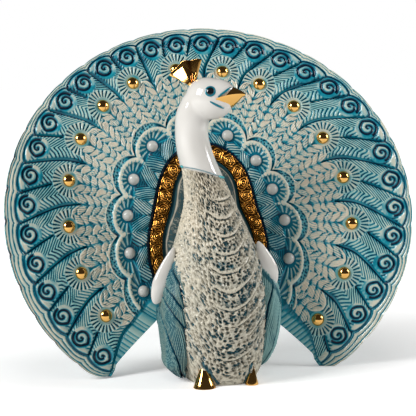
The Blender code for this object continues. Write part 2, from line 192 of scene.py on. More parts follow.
def fan_place(feather, radius):
    """The angle of a feather count at a radius; past either end it crosses the plain strip."""
    angle = feather_angle(np.clip(feather, 0.0, FEATHERS), radius)
    before = np.clip(-feather / LEFT_STRIP, 0.0, 1.0)
    after = np.clip((feather - FEATHERS) / RIGHT_STRIP, 0.0, 1.0)
    angle = angle + (edge_angle(radius, -1.0) - angle) * before
    return angle + (edge_angle(radius, 1.0) - angle) * after


def dome_place(k):
    """Angle and radius of gold stud k, which sits on every second groove, with one odd three."""
    middle = DOMES // 2
    feather = 2.0 * k - 1.0 if k < middle else 2.0 * k - 0.5 if k == middle else 2.0 * k
    angle = float(feather_angle(feather, DOME_RING * 0.9))
    return angle, float(dome_ring(angle))


def pearl_place(k):
    """Angle and radius of pearl k, counted from the left; the pitch closes up a little outward."""
    step = k - (PEARLS + 1) / 2
    angle = math.radians(3.5) + PEARL_PITCH * step - math.radians(0.06) * step**3
    return angle, float(pearl_ring(angle))


def ramp(x, low, high):
    """Nought below low, one above high, and smooth between."""
    t = np.clip((x - low) / (high - low), 0.0, 1.0)
    return t * t * (3.0 - 2.0 * t)


def fade(x, low, high):
    """One below low, nought above high, and smooth between."""
    return 1.0 - ramp(x, low, high)


def stroke_at(x, core, edge):
    """One on a line's middle, nought past its edge on either side."""
    return fade(np.abs(x), core, edge)


def waves(x):
    """A wave from minus one to one, one for each unit."""
    return np.cos(2 * math.pi * x)


def over(mask, new, old):
    return old + (new - old) * mask


TABLE_SIDE = 64
mottle_table = np.random.default_rng(7).random((TABLE_SIDE, TABLE_SIDE))


def chance(i, j):
    """The random number that belongs to a whole place."""
    return mottle_table[i % TABLE_SIDE, j % TABLE_SIDE]


def mottle(x, y):
    """Soft random cloud of one unit's grain, from nought to one."""
    xi = np.floor(x).astype(int)
    yi = np.floor(y).astype(int)
    fx = ramp(x - xi, 0.0, 1.0)
    fy = ramp(y - yi, 0.0, 1.0)
    low = chance(xi, yi) * (1 - fx) + chance(xi + 1, yi) * fx
    high = chance(xi, yi + 1) * (1 - fx) + chance(xi + 1, yi + 1) * fx
    return low * (1 - fy) + high * fy


def lumps(x, y, seed, margin):
    """Distances to the nearest and second nearest of many scattered points, one in each unit."""
    first = np.full(np.shape(x), 9.0)
    second = np.full(np.shape(x), 9.0)
    xi = np.floor(x).astype(int)
    yi = np.floor(y).astype(int)
    for i in (-1, 0, 1):
        for j in (-1, 0, 1):
            px = xi + i + margin + (1.0 - 2 * margin) * chance(xi + i + seed, yi + j)
            py = yi + j + margin + (1.0 - 2 * margin) * chance(xi + i, yi + j + 3 * seed + 11)
            distance = np.hypot(x - px, y - py)
            second = np.minimum(second, np.maximum(first, distance))
            first = np.minimum(first, distance)
    return first, second


class Relief:
    """Rise in millimetres, stain and wash at many places, laid on coat by coat; in places the stain holds
    painted shade and the wash a painted highlight.
    """

    def __init__(self, rise, stain, wash):
        self.rise = rise
        self.stain = stain
        self.wash = wash

    def coat(self, mask, rise=None, stain=None, wash=None):
        """Where the mask says, replace what is there."""
        if rise is not None:
            self.rise = over(mask, rise, self.rise)
        if stain is not None:
            self.stain = over(mask, stain, self.stain)
        if wash is not None:
            self.wash = over(mask, wash, self.wash)

    def cover(self, mask, other):
        self.coat(mask, other.rise, other.stain, other.wash)

    def add(self, rise=0.0, stain=0.0):
        self.rise = self.rise + rise
        self.stain = self.stain + stain

    def marks(self):
        return {"stain": np.clip(self.stain, 0.0, 1.0), "wash": np.clip(self.wash, 0.0, 1.0)}


CURL_INWARD = 1.3
CROWN_DEPTH = 6.8
SCALLOP_RISE = 4.9
SCALLOP_DEPTH = 3.3


class FanPlaces:
    """Where many points of the fan's front lie among the feathers, in millimetres and in shares."""

    def __init__(self, feather, radius, angle):
        self.feather = feather
        self.angle = angle
        self.mm = radius * TO_MM
        self.pitch = 2 * FAN_SPREAD / FEATHERS * self.mm
        self.half = 0.5 * self.pitch
        self.inside = np.clip(feather, 0.0, FEATHERS - 0.001)
        self.cell = np.floor(self.inside)
        self.share = self.inside - self.cell
        self.across = (self.share - 0.5) * self.pitch
        groove = self.cell + (self.across > 0)
        self.gap = (self.inside - groove) * self.pitch * np.sign(angle + 1e-9)
        self.paired = np.isin(groove, PAIR_GROOVES)
        self.spirals = spiral_ring(angle) * TO_MM
        self.domes = dome_ring(angle) * TO_MM
        self.rim = rim_ring(angle) * TO_MM
        self.cloud = mottle(self.inside * 3.0 + 5.0, self.mm / 4.0)
        self.grain = mottle(angle * self.mm / 0.9, self.mm / 0.9)
        # the rounded end of each feather's root, the scallop round its tip, and its curl's middle
        self.crown = self.domes - 1.0 - CROWN_DEPTH * (np.abs(self.across) / self.half) ** 2.2
        arc = np.sqrt(1.0 - 0.93 * (2.0 * self.share - 1.0) ** 2)
        self.scallop = self.spirals + SCALLOP_RISE - SCALLOP_DEPTH * (1.0 - arc)
        self.past_curl = self.mm - self.spirals + CURL_INWARD


BARB_PITCH = 1.95
BARB_SLANT = 0.95


def carve_barbs(at):
    """The whole fan starts as barbs: chevrons that point outward along each feather's middle."""
    aside = np.abs(at.across)
    wave = waves((at.mm + BARB_SLANT * aside) / BARB_PITCH + 0.75 * (at.cloud - 0.5))
    rise = 0.30 * wave + 0.12 * (at.grain - 0.5) - 0.5 * (aside / at.half) ** 3
    stain = 0.84 * ramp(-wave, -0.25, 0.75) * (0.62 + 0.55 * at.cloud) + 0.16 * (at.cloud - 0.3)
    return Relief(rise, stain, 0.75 + 0.5 * (at.cloud - 0.5))


TUFT_LENGTH = 4.1
HATCH_PITCH = 1.05


def carve_weave(at, relief):
    """Inside the studs each feather is a beige strip with a rounded end, woven of hatched tufts."""
    aside = np.abs(at.across)
    half_strip = np.where(at.across > 0, 1.0, 0.0)
    stray = mottle(at.inside * 4.0, at.mm / 3.0) - 0.5
    lean = 0.55 + 0.35 * (mottle(at.inside * 2.0 + 9.0, at.mm / 6.0) - 0.5)
    tuft = (at.mm + lean * aside + 2.2 * stray) / TUFT_LENGTH + 0.5 * half_strip + 0.37 * at.cell
    tip = tuft - np.floor(tuft)
    tone = mottle(np.floor(tuft) * 3.7 + 11.0 * half_strip, at.cell * 5.3)
    hatch = waves((at.across + 0.22 * at.mm * np.sign(at.across) + 1.2 * at.cloud) / HATCH_PITCH)
    lift = ramp(tip, 0.0, 0.22) * (1.0 - 0.10 * tip)
    middle = fade(aside, 0.10, 0.55)
    corner = fade(np.minimum(aside, np.abs(aside - at.half)) / (0.5 * at.half), 0.15, 1.0)
    by_corner = 0.35 + 0.65 * corner
    rise = -0.80 + 1.25 * lift * tip**0.35 + 0.34 * hatch * tip - 0.25 * middle + 0.12 * (at.grain - 0.5)
    pooled = 0.62 * fade(tip, 0.06, 0.26 + 0.34 * corner) * by_corner * (0.55 + 0.7 * at.cloud)
    scratched = 0.36 * ramp(-hatch, 0.1, 0.9) * (0.3 + at.grain) * (0.4 + 0.9 * tone)
    shadow = 0.60 * stroke_at(tip - 0.05, 0.03, 0.12) * by_corner * (0.3 + 0.8 * at.cloud)
    stain = np.maximum(pooled + scratched, shadow)
    stain = np.maximum(stain, 0.40 * middle * (1.0 - tip)) + 0.10 * (tone - 0.5)
    weave = Relief(rise, stain, 0.15 * at.cloud)
    lip = ramp(at.mm - at.crown, -1.7, -1.1)
    weave.coat(lip, 0.34, 0.04)
    side_line = stroke_at(at.gap, 0.25, 0.75) * (0.35 + 0.65 * ramp(at.mm - at.domes, -14.0, -4.0))
    weave.coat(side_line, -0.55, 0.62)
    relief.cover(fade(at.mm - at.crown, -0.25, 0.25), weave)
    outline = np.clip(1.0 - np.abs(at.mm - at.crown - 0.45) / 0.5, 0.0, 1.0)
    relief.coat(outline, -0.5, 0.66)


def cut_grooves(at, relief):
    """Grooves between feathers: long ones between pairs, short ones outside each gold stud."""
    start = np.where(at.paired, at.domes - 7.5, at.domes + 7.6)
    end = at.spirals + 3.2
    run = np.clip((at.mm - start) / (end - start), 0.0, 1.0)
    taper = (0.35 + 0.65 * ramp(run, 0.0, 0.22)) * (1.0 - 0.45 * ramp(run, 0.8, 1.0))
    width = np.where(at.paired, 1.20, 0.90) * taper
    reached = ramp(at.mm - start, -0.4, 0.4) * fade(at.mm - end, -0.2, 0.6)
    wide = stroke_at(at.gap, width * 0.7, width * 1.15) * reached
    dark = stroke_at(at.gap - 0.42 * width, 0.18, 0.5) * reached
    banked = stroke_at(at.gap, width, width + 1.6) * reached * (1.0 - wide)
    relief.coat(wide, -0.75 - 0.7 * (1.0 - np.abs(at.gap) / 1.8), 0.40 + 0.25 * at.cloud)
    relief.add(rise=-0.45 * dark, stain=0.30 * banked * ramp(at.cloud, 0.2, 0.7))
    relief.coat(dark, stain=0.97)


CURL_REACH = 5.0
CURL_WOUND = math.radians(640.0)


def carve_spiral(across, along, breadth=1.0):
    """Share of the curled groove at a place, in millimetres from the curl's middle."""
    reach = np.hypot(across, along)
    turn = np.arctan2(along, across) % (2 * math.pi)
    share = np.zeros_like(reach)
    for lap in (0.0, 2 * math.pi):
        wound = turn + lap
        line = CURL_REACH * (1.0 - np.clip(wound / CURL_WOUND, 0.0, 1.0) ** 1.7)
        line = line + 0.6 * np.maximum(0.0, 1.0 - np.abs(wound - math.pi) / 0.42)
        half = breadth * (0.86 - 0.30 * wound / CURL_WOUND)
        cut = stroke_at(reach - line, half * 0.45, half * 1.25)
        share = np.maximum(share, np.where(wound <= CURL_WOUND, cut, 0.0))
    return np.maximum(share, fade(reach, 0.35 * breadth, 0.95 * breadth))


def carve_tips(at, relief):
    """Each feather's tip is a smooth leaf with a curled groove, and a raised shelf outside the curl whose
    pale wash is a painted highlight; one side of the leaf holds painted shade.
    """
    whole = at.cell < FEATHERS - 1.0
    along = at.past_curl
    aside = (at.angle - feather_angle(at.cell + 0.5, TO_METRES * (at.spirals - CURL_INWARD))) * at.mm
    leaf = fade(np.hypot(aside, along * 0.90), 5.4, 6.0) * whole
    beyond = ramp(at.mm - at.scallop, -3.6, -2.9)
    ground = np.maximum(leaf, beyond * ramp(at.half - np.abs(at.across), 0.8, 1.6))
    relief.coat(ground, 0.20, 0.02 + 0.26 * at.cloud * at.grain, 0.30 + 0.5 * (at.cloud - 0.5))
    curl = carve_spiral(aside * 1.10, along * 1.10) * whole
    halo = carve_spiral(aside * 1.07, along * 1.07 - 0.25, 1.9) * whole * ground
    # the raised shelf outside the curl is washed pale as a painted highlight
    ledge_and_highlight = ramp(along, 1.5, 4.5) * fade(at.mm - at.scallop, -1.0, -0.5) * ground * (1.0 - curl)
    # the leaf's inner end is darkened; its side turned away from the top of the fan is darkened as a painted
    # shade
    inner_end = ramp(-along, 2.5, 5.5) * ground * (1.0 - curl)
    shade = ramp(at.across * np.sign(at.angle), 1.5, 5.5) * ground * (1.0 - ledge_and_highlight)
    relief.stain = np.maximum(relief.stain, 0.40 * halo)
    relief.add(rise=0.30 * ledge_and_highlight - 0.30 * halo - 0.80 * curl)
    relief.add(stain=0.30 * np.maximum(inner_end, shade) * (0.4 + 0.8 * at.cloud))
    relief.coat(ledge_and_highlight, wash=0.12)
    relief.coat(curl, stain=1.0)


CONTOURS = 3.3


def carve_scallops(at, relief):
    """A dark scallop goes round each tip, and contour lines fill the border from there to the rim."""
    outer = at.mm - at.scallop
    spread = np.clip(outer / (at.rim - at.scallop), 0.0, 1.0)
    contour = waves(CONTOURS * spread + 0.25 * (at.cloud - 0.5))
    lines = 0.75 * ramp(-contour, 0.35, 0.95) * (1.0 - 0.35 * spread)
    border = ramp(outer, 0.55, 0.95)
    relief.add(rise=0.20 * np.clip(1.0 - np.abs(outer + 0.75) / 0.6, 0.0, 1.0))
    border_rise = -0.15 + 0.30 * contour - 0.25 * spread
    relief.coat(border, border_rise, 0.05 + lines + 0.2 * (at.cloud - 0.5), 0.40 - 0.25 * spread)
    relief.coat(np.clip(1.0 - np.abs(outer - 0.25) / 0.72, 0.0, 1.0) ** 0.6, -0.55, 0.92)
    top_of_fan = ramp(np.cos(at.angle), 0.2, 0.9)
    relief.add(stain=0.12 * top_of_fan * ramp(at.past_curl, -9.0, -4.0) * (1.0 - border))


SUNBURST_STROKES = 24.0


def nearest_stud(at):
    """Distance from the nearest gold stud, and the turn about it from straight outward."""
    reach = np.full(at.mm.shape, 99.0)
    turn = np.zeros(at.mm.shape)
    for k in range(1, DOMES + 1):
        dome_angle, dome_radius = dome_place(k)
        aside = (at.angle - dome_angle) * at.mm
        out = at.mm - dome_radius * TO_MM
        distance = np.hypot(aside, out)
        nearer = distance < reach
        reach = np.where(nearer, distance, reach)
        turn = np.where(nearer, np.arctan2(aside, out), turn)
    return reach, turn


def carve_sunbursts(at, relief):
    """A sunburst of short strokes round the outer side of each gold stud, and a seat for the stud."""
    reach, turn = nearest_stud(at)
    turn = turn - 0.18 * np.sign(at.angle)
    outer_side = fade(np.abs(turn), math.radians(108.0), math.radians(116.0))
    stroke = np.cos(SUNBURST_STROKES * turn)
    ring = ramp(reach, 4.6, 5.2) * fade(reach, 8.5, 9.1)
    relief.coat(
        fade(reach, 8.9, 9.5) * outer_side,
        0.30 + (0.50 * stroke - 0.40) * ring,
        0.06 + 0.20 * at.grain * at.cloud + 0.80 * ramp(-stroke, 0.05, 0.75) * ring,
        0.20 + 0.3 * at.cloud,
    )
    # glaze pools in a hollow on the stud's inner side
    hollow = (1.0 - outer_side) * ramp(at.mm - at.crown, 0.1, 0.6) * fade(reach, 9.0, 10.5)
    relief.coat(hollow, -0.75, 0.52 + 0.3 * ramp(reach, 5.0, 9.0))
    relief.coat(fade(reach, 4.4, 4.8), -0.25, 0.06 + 0.30 * at.cloud)


ARCH_HEIGHT = 9.4
ARCH_FOOT = 1.8


class PearlPlaces:
    """Where the same points lie about the nearest pearl, in millimetres; x is one at each cusp."""

    def __init__(self, at):
        best = np.full(at.mm.shape, 99.0)
        self.x = np.zeros(at.mm.shape)
        middle = np.zeros(at.mm.shape)
        for k in range(0, PEARLS + 2):
            pearl_angle, pearl_radius = pearl_place(k)
            offset = (at.angle - pearl_angle) / (0.5 * PEARL_PITCH)
            nearer = np.abs(offset) < best
            best = np.where(nearer, np.abs(offset), best)
            self.x = np.where(nearer, offset, self.x)
            middle = np.where(nearer, pearl_radius * TO_MM, middle)
        self.half_pitch = 0.5 * PEARL_PITCH * middle
        self.aside = self.x * self.half_pitch
        self.out = at.mm - pearl_ring(at.angle) * TO_MM
        self.reach = np.hypot(self.aside, self.out)
        self.turn = np.arctan2(self.aside, self.out)
        self.band = (band_ring(at.angle) - pearl_ring(at.angle)) * TO_MM
        reach_in_arches = np.hypot(np.clip(np.abs(self.x), 0, 1.05), (self.out + ARCH_FOOT) / ARCH_HEIGHT)
        self.past_arch = (reach_in_arches - 1.0) * ARCH_HEIGHT
        self.past_line = self.past_arch - 1.7 - 3.0 * np.clip(1.0 - self.x**2, 0.0, 1.0)


PRICK_PITCH = 1.35


def carve_arch_gap(at, pearl):
    """The gap between an arch and the pale line outside it, with pricked dots."""
    dots = lumps(pearl.aside / PRICK_PITCH + 20.0, pearl.out / PRICK_PITCH, 3, 0.15)[0]
    prick = fade(dots, 0.22, 0.36) * ramp(0.72 - np.abs(pearl.x), 0.0, 0.1)
    cusp = ramp(np.abs(pearl.x), 0.55, 0.85)
    stain = over(prick, 0.95, 0.22 + 0.55 * cusp + 0.2 * at.grain)
    gap = Relief(-0.25 - 0.7 * cusp - 0.5 * prick, stain, 0.20 + 0.2 * at.cloud)
    gap.coat(ramp(pearl.past_line, -0.45, -0.1), 0.35, 0.06, 0.12)
    return gap


def carve_bowl(pearl):
    """The bowl under a pearl, with strokes between the pearl and its arch."""
    stroke = np.cos(17.0 * pearl.turn)
    rays = ramp(pearl.reach, 4.0, 4.4) * stroke_at(pearl.turn, 1.75, 1.95)
    rise = -0.95 + 0.45 * ramp(pearl.reach, 3.5, 6.5) + 0.30 * stroke * rays
    stain = 0.62 + 0.25 * ramp(np.abs(pearl.turn), 1.2, 2.4) - 0.46 * ramp(stroke, -0.2, 0.7) * rays
    return rise, stain


PETAL_HALF = 5.2
PETAL_GROOVES = 1.30
LEAF_GROOVES = 1.35
FLOOR_GROOVES = 1.3


def carve_petals(at, pearl):
    """Petals that lean from each cusp to the gold band, with a short leaf between them."""
    side = np.sign(pearl.x) + (pearl.x == 0)
    root_x = 0.96 * pearl.half_pitch
    root_y = -1.4
    span_x = 0.16 * pearl.half_pitch - root_x
    span_y = pearl.band + 0.9 - root_y
    length = np.hypot(span_x, span_y)
    way_x = span_x / length
    way_y = span_y / length
    dx = pearl.aside * side - root_x
    dy = pearl.out - root_y
    t = (dx * way_x + dy * way_y) / length
    n = -dx * way_y + dy * way_x
    half = PETAL_HALF * np.clip(np.sin(math.pi * np.clip(t, 0.0, 1.0) ** 1.05), 0.0, 1.0) ** 0.45
    shown = ramp(half - np.abs(n), 0.0, 0.35) * ramp(pearl.reach, 3.6, 4.3)
    lines = waves((n + 0.9 * t * side + 0.5 * at.cloud) / PETAL_GROOVES)
    rise = 0.15 + 0.28 * lines - 0.07 * n**2
    stain = 0.16 + 0.70 * ramp(-lines, -0.20, 0.7) + 0.012 * n**2 + 0.25 * (at.cloud - 0.5)
    # the short striped leaf stands over the dark floor
    from_cusp = (pearl.half_pitch - np.abs(pearl.aside)) / 2.6
    leaf_run = np.clip((-1.0 - pearl.out) / (-1.0 - pearl.band), 0.0, 1.0)
    leaf = ramp(np.sin(math.pi * leaf_run**1.5) ** 0.5 - from_cusp * 0.8, 0.0, 0.15)
    stripes = waves((pearl.out + 1.3 * np.abs(from_cusp)) / LEAF_GROOVES)
    floor = waves(pearl.out / FLOOR_GROOVES)
    low_rise = over(leaf, -0.35 + 0.2 * stripes, -1.1 + 0.12 * floor)
    low_stain = over(leaf, 0.30 + 0.46 * ramp(-stripes, -0.2, 0.6), 0.70 + 0.20 * floor)
    return shown, over(shown, rise, low_rise), over(shown, stain, low_stain)


def carve_pearl_zone(at, relief):
    """Pointed arches round the pearls, petals inside them, and a dark line outside the gold band."""
    pearl = PearlPlaces(at)
    above = ramp(pearl.out, -3.2, -1.8)
    zone = carve_arch_gap(at, pearl)
    zone.coat(fade(pearl.past_arch, -1.2, -0.9), *carve_bowl(pearl))
    petals, petal_rise, petal_stain = carve_petals(at, pearl)
    below = np.maximum(fade(pearl.out, -3.0, -1.6), petals * (1.0 - above))
    zone.coat(below, petal_rise, petal_stain)
    bow = np.clip(1.0 - (pearl.past_arch / 1.20) ** 2, 0.0, 1.0) ** 0.5
    notch = ramp(np.cos(26.0 * pearl.turn) * ramp(-pearl.past_arch, -0.2, 0.6), 0.2, 0.9)
    bow_stain = 0.02 + 0.45 * ramp(0.65 - bow, 0.0, 0.5) + 0.16 * at.grain + 0.3 * notch
    zone.coat(ramp(bow, 0.0, 0.5) * above, 0.15 + 0.75 * bow, bow_stain, 0.05)
    relief.cover(fade(pearl.past_line, 0.3, 0.7), zone)
    relief.coat(fade(pearl.out - pearl.band, 1.0, 1.5), -1.1, 1.0)


def finish_edges(at, relief):
    """A plain strip runs along both lower edges, and the rim rolls over to the back."""
    past = at.feather - FEATHERS
    streak = waves(at.mm / 2.6 + 1.5 * at.cloud)
    relief.coat(
        np.maximum(ramp(-at.feather, 0.0, 0.05), ramp(past, 0.0, 0.03)),
        -0.5 + 0.12 * streak,
        0.08 + 0.30 * at.cloud + 0.30 * ramp(-streak, 0.2, 1.0),
        0.60,
    )
    first_line = stroke_at((at.feather + 0.02) * at.pitch, 0.3, 0.8)
    start_line = np.maximum(first_line, stroke_at(past * at.pitch, 0.3, 0.8))
    relief.coat(start_line, stain=0.55)
    roll = np.clip(1.0 - (at.rim - at.mm) / 1.1, 0.0, 1.0)
    relief.add(rise=-0.4 * start_line - 0.9 * (1.0 - np.sqrt(np.clip(1.0 - roll**2, 0.0, 1.0))))


def carve_tail(feather, radius, angle):
    """The relief of the fan's front, carved from the plain barbs up."""
    at = FanPlaces(feather, radius, angle)
    relief = carve_barbs(at)
    carve_weave(at, relief)
    cut_grooves(at, relief)
    carve_tips(at, relief)
    carve_scallops(at, relief)
    carve_sunbursts(at, relief)
    carve_pearl_zone(at, relief)
    finish_edges(at, relief)
    return relief


def pick(*pieces):
    """Select these pieces and nothing else, and make the first one active."""
    bpy.ops.object.select_all(action="DESELECT")
    for piece in pieces:
        piece.select_set(True)
    if pieces:
        bpy.context.view_layer.objects.active = pieces[0]


def name_piece(name):
    """Name the active object and its mesh alike."""
    piece = bpy.context.active_object
    piece.name = name
    piece.data.name = name
    return piece


def read_places(mesh):
    places = np.empty(len(mesh.vertices) * 3)
    mesh.vertices.foreach_get("co", places)
    return places.reshape(-1, 3)


def add_marks(mesh, marks):
    for mark, values in marks.items():
        layer = mesh.attributes.new(mark, "FLOAT", "POINT")
        layer.data.foreach_set("value", np.asarray(values, dtype=np.float32))


def glazed_grid(name, columns, rows, shape):
    """A grid primitive whose points are laid over the figure by a rule of their place on it."""
    pick()
    bpy.ops.mesh.primitive_grid_add(x_subdivisions=columns, y_subdivisions=rows, size=1.0)
    sheet = name_piece(name)
    mesh = sheet.data
    flat = read_places(mesh)
    x, y, z, marks = shape(flat[:, 0] + 0.5, flat[:, 1] + 0.5)
    mesh.vertices.foreach_set("co", np.stack([x, y, z], axis=1).ravel())
    add_marks(mesh, marks)
    mesh.update()
    bpy.ops.object.shade_smooth()
    return sheet


SETTLE_STEPS = 5
LOWEST = 0.0003


def tail_part(first, last, inner, outer):
    """A rule for part of the tail's front, between two feathers and two rings."""

    def shape(u, v):
        feather = first + (last - first) * u
        angle = tip_angle(np.clip(feather, 0.0, FEATHERS))
        for settle in range(SETTLE_STEPS):
            radius = inner(angle) + (outer(angle) - inner(angle)) * v
            angle = fan_place(feather, radius)
        relief = carve_tail(feather, radius, angle)
        x, y, z = on_fan(angle, radius, relief.rise * TO_METRES)
        return x, y, np.maximum(z, LOWEST), relief.marks()

    return shape


def link_or_set(tree, socket, value):
    """Feed a socket from another node, or give it a constant."""
    if isinstance(value, bpy.types.NodeSocket):
        tree.links.new(value, socket)
    else:
        socket.default_value = value


def blend_colours(tree, factor, low, high):
    mix = tree.nodes.new("ShaderNodeMix")
    mix.data_type = "RGBA"
    link_or_set(tree, mix.inputs[0], factor)
    link_or_set(tree, mix.inputs[6], low)
    link_or_set(tree, mix.inputs[7], high)
    return mix.outputs[2]


def colour_ramp(tree, factor, stops):
    node = tree.nodes.new("ShaderNodeValToRGB")
    while len(node.color_ramp.elements) > 1:
        node.color_ramp.elements.remove(node.color_ramp.elements[-1])
    node.color_ramp.elements[0].position = stops[0][0]
    node.color_ramp.elements[0].color = stops[0][1]
    for position, colour in stops[1:]:
        stop = node.color_ramp.elements.new(position)
        stop.color = colour
    tree.links.new(factor, node.inputs[0])
    return node.outputs[0]


def combine(tree, operation, a, b):
    node = tree.nodes.new("ShaderNodeMath")
    node.operation = operation
    node.use_clamp = True
    link_or_set(tree, node.inputs[0], a)
    link_or_set(tree, node.inputs[1], b)
    return node.outputs[0]


def noise(tree, scale, detail=3.0):
    places = tree.nodes.new("ShaderNodeTexCoord")
    node = tree.nodes.new("ShaderNodeTexNoise")
    node.inputs["Scale"].default_value = scale
    node.inputs["Detail"].default_value = detail
    tree.links.new(places.outputs["Object"], node.inputs["Vector"])
    return node.outputs["Fac"]


def read_mark(tree, mark):
    node = tree.nodes.new("ShaderNodeAttribute")
    node.attribute_name = mark
    return node.outputs["Fac"]


def new_glaze(name):
    """A new material, with its node tree and its shader."""
    glaze = bpy.data.materials.new(name)
    glaze.use_nodes = True
    return glaze, glaze.node_tree, glaze.node_tree.nodes["Principled BSDF"]


SPECK_COLOUR = (0.95, 0.90, 0.80, 1.0)


def washed_glaze(name, beige, turquoise, pools, roughness, shine=0.40):
    """Beige glaze under a turquoise wash, with a darker glaze pooled where the stain mark says; where the
    marks hold painted shade and painted highlight, these colours carry them too.
    """
    glaze, tree, shader = new_glaze(name)
    cloud = noise(tree, 90.0, 4.0)
    speck = noise(tree, 1300.0, 2.0)
    wash = combine(tree, "ADD", read_mark(tree, "wash"), combine(tree, "MULTIPLY", cloud, 0.20))
    ground = blend_colours(tree, wash, beige, turquoise)
    ground = blend_colours(tree, combine(tree, "MULTIPLY", speck, 0.16), ground, SPECK_COLOUR)
    stain = combine(tree, "ADD", read_mark(tree, "stain"), combine(tree, "MULTIPLY", cloud, 0.08))
    depth = colour_ramp(tree, stain, pools)
    cover = colour_ramp(tree, stain, ((0.06, (0, 0, 0, 1)), (0.42, (1, 1, 1, 1))))
    tree.links.new(blend_colours(tree, cover, ground, depth), shader.inputs["Base Color"])
    shader.inputs["Roughness"].default_value = roughness
    shader.inputs["Specular IOR Level"].default_value = shine
    bump = tree.nodes.new("ShaderNodeBump")
    bump.inputs["Strength"].default_value = 0.25
    bump.inputs["Distance"].default_value = 0.0002
    tree.links.new(speck, bump.inputs["Height"])
    tree.links.new(bump.outputs["Normal"], shader.inputs["Normal"])
    return glaze


BLUE_POOLS = (
    (0.10, (0.12, 0.41, 0.435, 1.0)),
    (0.40, (0.010, 0.265, 0.340, 1.0)),
    (0.70, (0.001, 0.110, 0.180, 1.0)),
    (0.96, (0.000, 0.012, 0.035, 1.0)),
)
TAIL_BEIGE = (0.74, 0.60, 0.45, 1.0)
TAIL_TURQUOISE = (0.245, 0.51, 0.48, 1.0)
tail_glaze = washed_glaze("tail_turquoise_glaze", TAIL_BEIGE, TAIL_TURQUOISE, BLUE_POOLS, 0.17)


def dress(piece, material):
    """Give a finished piece its material and its body, in place of the plain solid."""
    piece.data.materials.clear()
    piece.data.materials.append(material)
    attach(piece, "root")
    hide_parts("peacock")


# the front is made in three sheets, which meet on a ring inside the studs and at one feather
WEAVE_RING_INWARD = 0.0098
RIM_SINK = 0.0004
RIM_NICK = 0.0006


def weave_edge(angle):
    return dome_ring(angle) - WEAVE_RING_INWARD


def band_edge(angle):
    return band_ring(angle) - 0.0001


def outer_edge(angle):
    """The rim, nicked a little where each groove between two feathers meets it."""
    share = (angle / FAN_SPREAD + 1.0) / 2.0 * FEATHERS % 1.0
    return rim_ring(angle) - RIM_SINK - RIM_NICK * (2.0 * share - 1.0) ** 4


MIDDLE_FEATHER = 16.0
LAST_FEATHER = FEATHERS + RIGHT_STRIP
for label, first, last in (("left", -LEFT_STRIP, MIDDLE_FEATHER), ("right", MIDDLE_FEATHER, LAST_FEATHER)):
    feathers = glazed_grid("tail_feathers_" + label, 665, 114, tail_part(first, last, weave_edge, outer_edge))
    dress(feathers, tail_glaze)
roots = glazed_grid("tail_roots", 820, 92, tail_part(-LEFT_STRIP, LAST_FEATHER, band_edge, weave_edge))
dress(roots, tail_glaze)

# Tail, back: the plain side of the same casting, ribbed where the feathers lie and washed in one
# turquoise glaze. It wraps the rim and the two lower edges, so the fan reads as one thick plate.

MIDDLE_RING = 0.25
EDGE_WRAP = 0.012
FRONT_SINK = 0.0013
BACK_SINK = 0.0004
EDGE_DEPTH = 0.0034
BACK_BARB_PITCH = 2.7
WALL_STREAK_PITCH = 2.6


def tail_back(u, v):
    """The back from rim to middle; the first and last shares of its breadth wrap the lower edges."""
    turned = ramp(np.minimum(u, 1.0 - u), 0.0, EDGE_WRAP)
    inner_share = np.clip((u - EDGE_WRAP) / (1.0 - 2 * EDGE_WRAP), 0.0, 1.0)
    feather = -LEFT_STRIP + (LAST_FEATHER + LEFT_STRIP) * inner_share
    angle = tip_angle(np.clip(feather, 0.0, FEATHERS))
    over_rim = ramp(v, 0.0, 0.04)
    inward = np.clip((v - 0.03) / 0.97, 0.0, 1.0)
    for settle in range(SETTLE_STEPS):
        rim = outer_edge(angle)
        radius = rim - BACK_SINK * over_rim + (MIDDLE_RING * band_ring(angle) - rim) * inward
        angle = fan_place(feather, radius)
    # ribs and barbs, in millimetres and in feathers counted straight from the rim's nicks
    mm = radius * TO_MM
    straight = (angle / FAN_SPREAD + 1.0) / 2.0 * FEATHERS
    share = straight % 1.0
    rib = waves(share)
    cloud = mottle(feather * 2.0, radius * 250.0)
    wide_cloud = mottle(feather * 0.6, radius * 60.0)
    outer = ramp(radius / rim_ring(angle), 0.30, 0.55)
    barb = waves((mm + 6.0 * np.abs(share - 0.5) * 2 + 1.2 * cloud) / BACK_BARB_PITCH)
    tip = np.clip((rim - radius) * TO_MM - 4.5 - 3.5 * (2.0 * share - 1.0) ** 2, -3.0, 3.0)
    scallop = stroke_at(tip, 0.25, 0.7) * ramp(inward, 0.0, 0.02)
    plume = waves(mm * 0.09 + 0.5 * np.floor(straight))
    relief = (0.00045 * ramp(rib, 0.55, 1.0) + 0.00013 * barb - 0.00010 * plume) * outer + 0.00035 * scallop
    # the wall, thin at the rim and thicker inward, closed round the rim and both lower edges
    depth = RIM_WALL + (FAN_WALL - RIM_WALL) * ramp(inward, 0.05, 0.35) - BACK_SINK
    depth = depth - relief * ramp(inward, 0.0, 0.05)
    near_edge = np.minimum(u - EDGE_WRAP, 1.0 - EDGE_WRAP - u) * 40.0
    depth = over(ramp(near_edge, 0.0, 3.0), depth, EDGE_DEPTH)
    rise = -(FRONT_SINK + (depth - FRONT_SINK) * over_rim)
    rise = np.where(turned < 1.0, -0.0005 + (rise + 0.0005) * turned, rise)
    stain = (0.72 * ramp(rib, 0.62, 1.0) + 0.42 * ramp(-barb, 0.0, 1.0) * (0.4 + 0.8 * wide_cloud)) * outer
    stain = np.maximum(stain + 0.22 * wide_cloud, 0.70 * scallop)
    streak = waves(mm / WALL_STREAK_PITCH + 1.5 * cloud)
    stain = np.where(turned < 1.0, 0.42 + 0.25 * ramp(-streak, 0.0, 1.0) + 0.2 * cloud, stain)
    x, y, z = on_fan(angle, radius, rise)
    return x, y, np.maximum(z, LOWEST), Relief(rise, stain, 0.50 + 0.5 * wide_cloud + 0.15 * plume).marks()


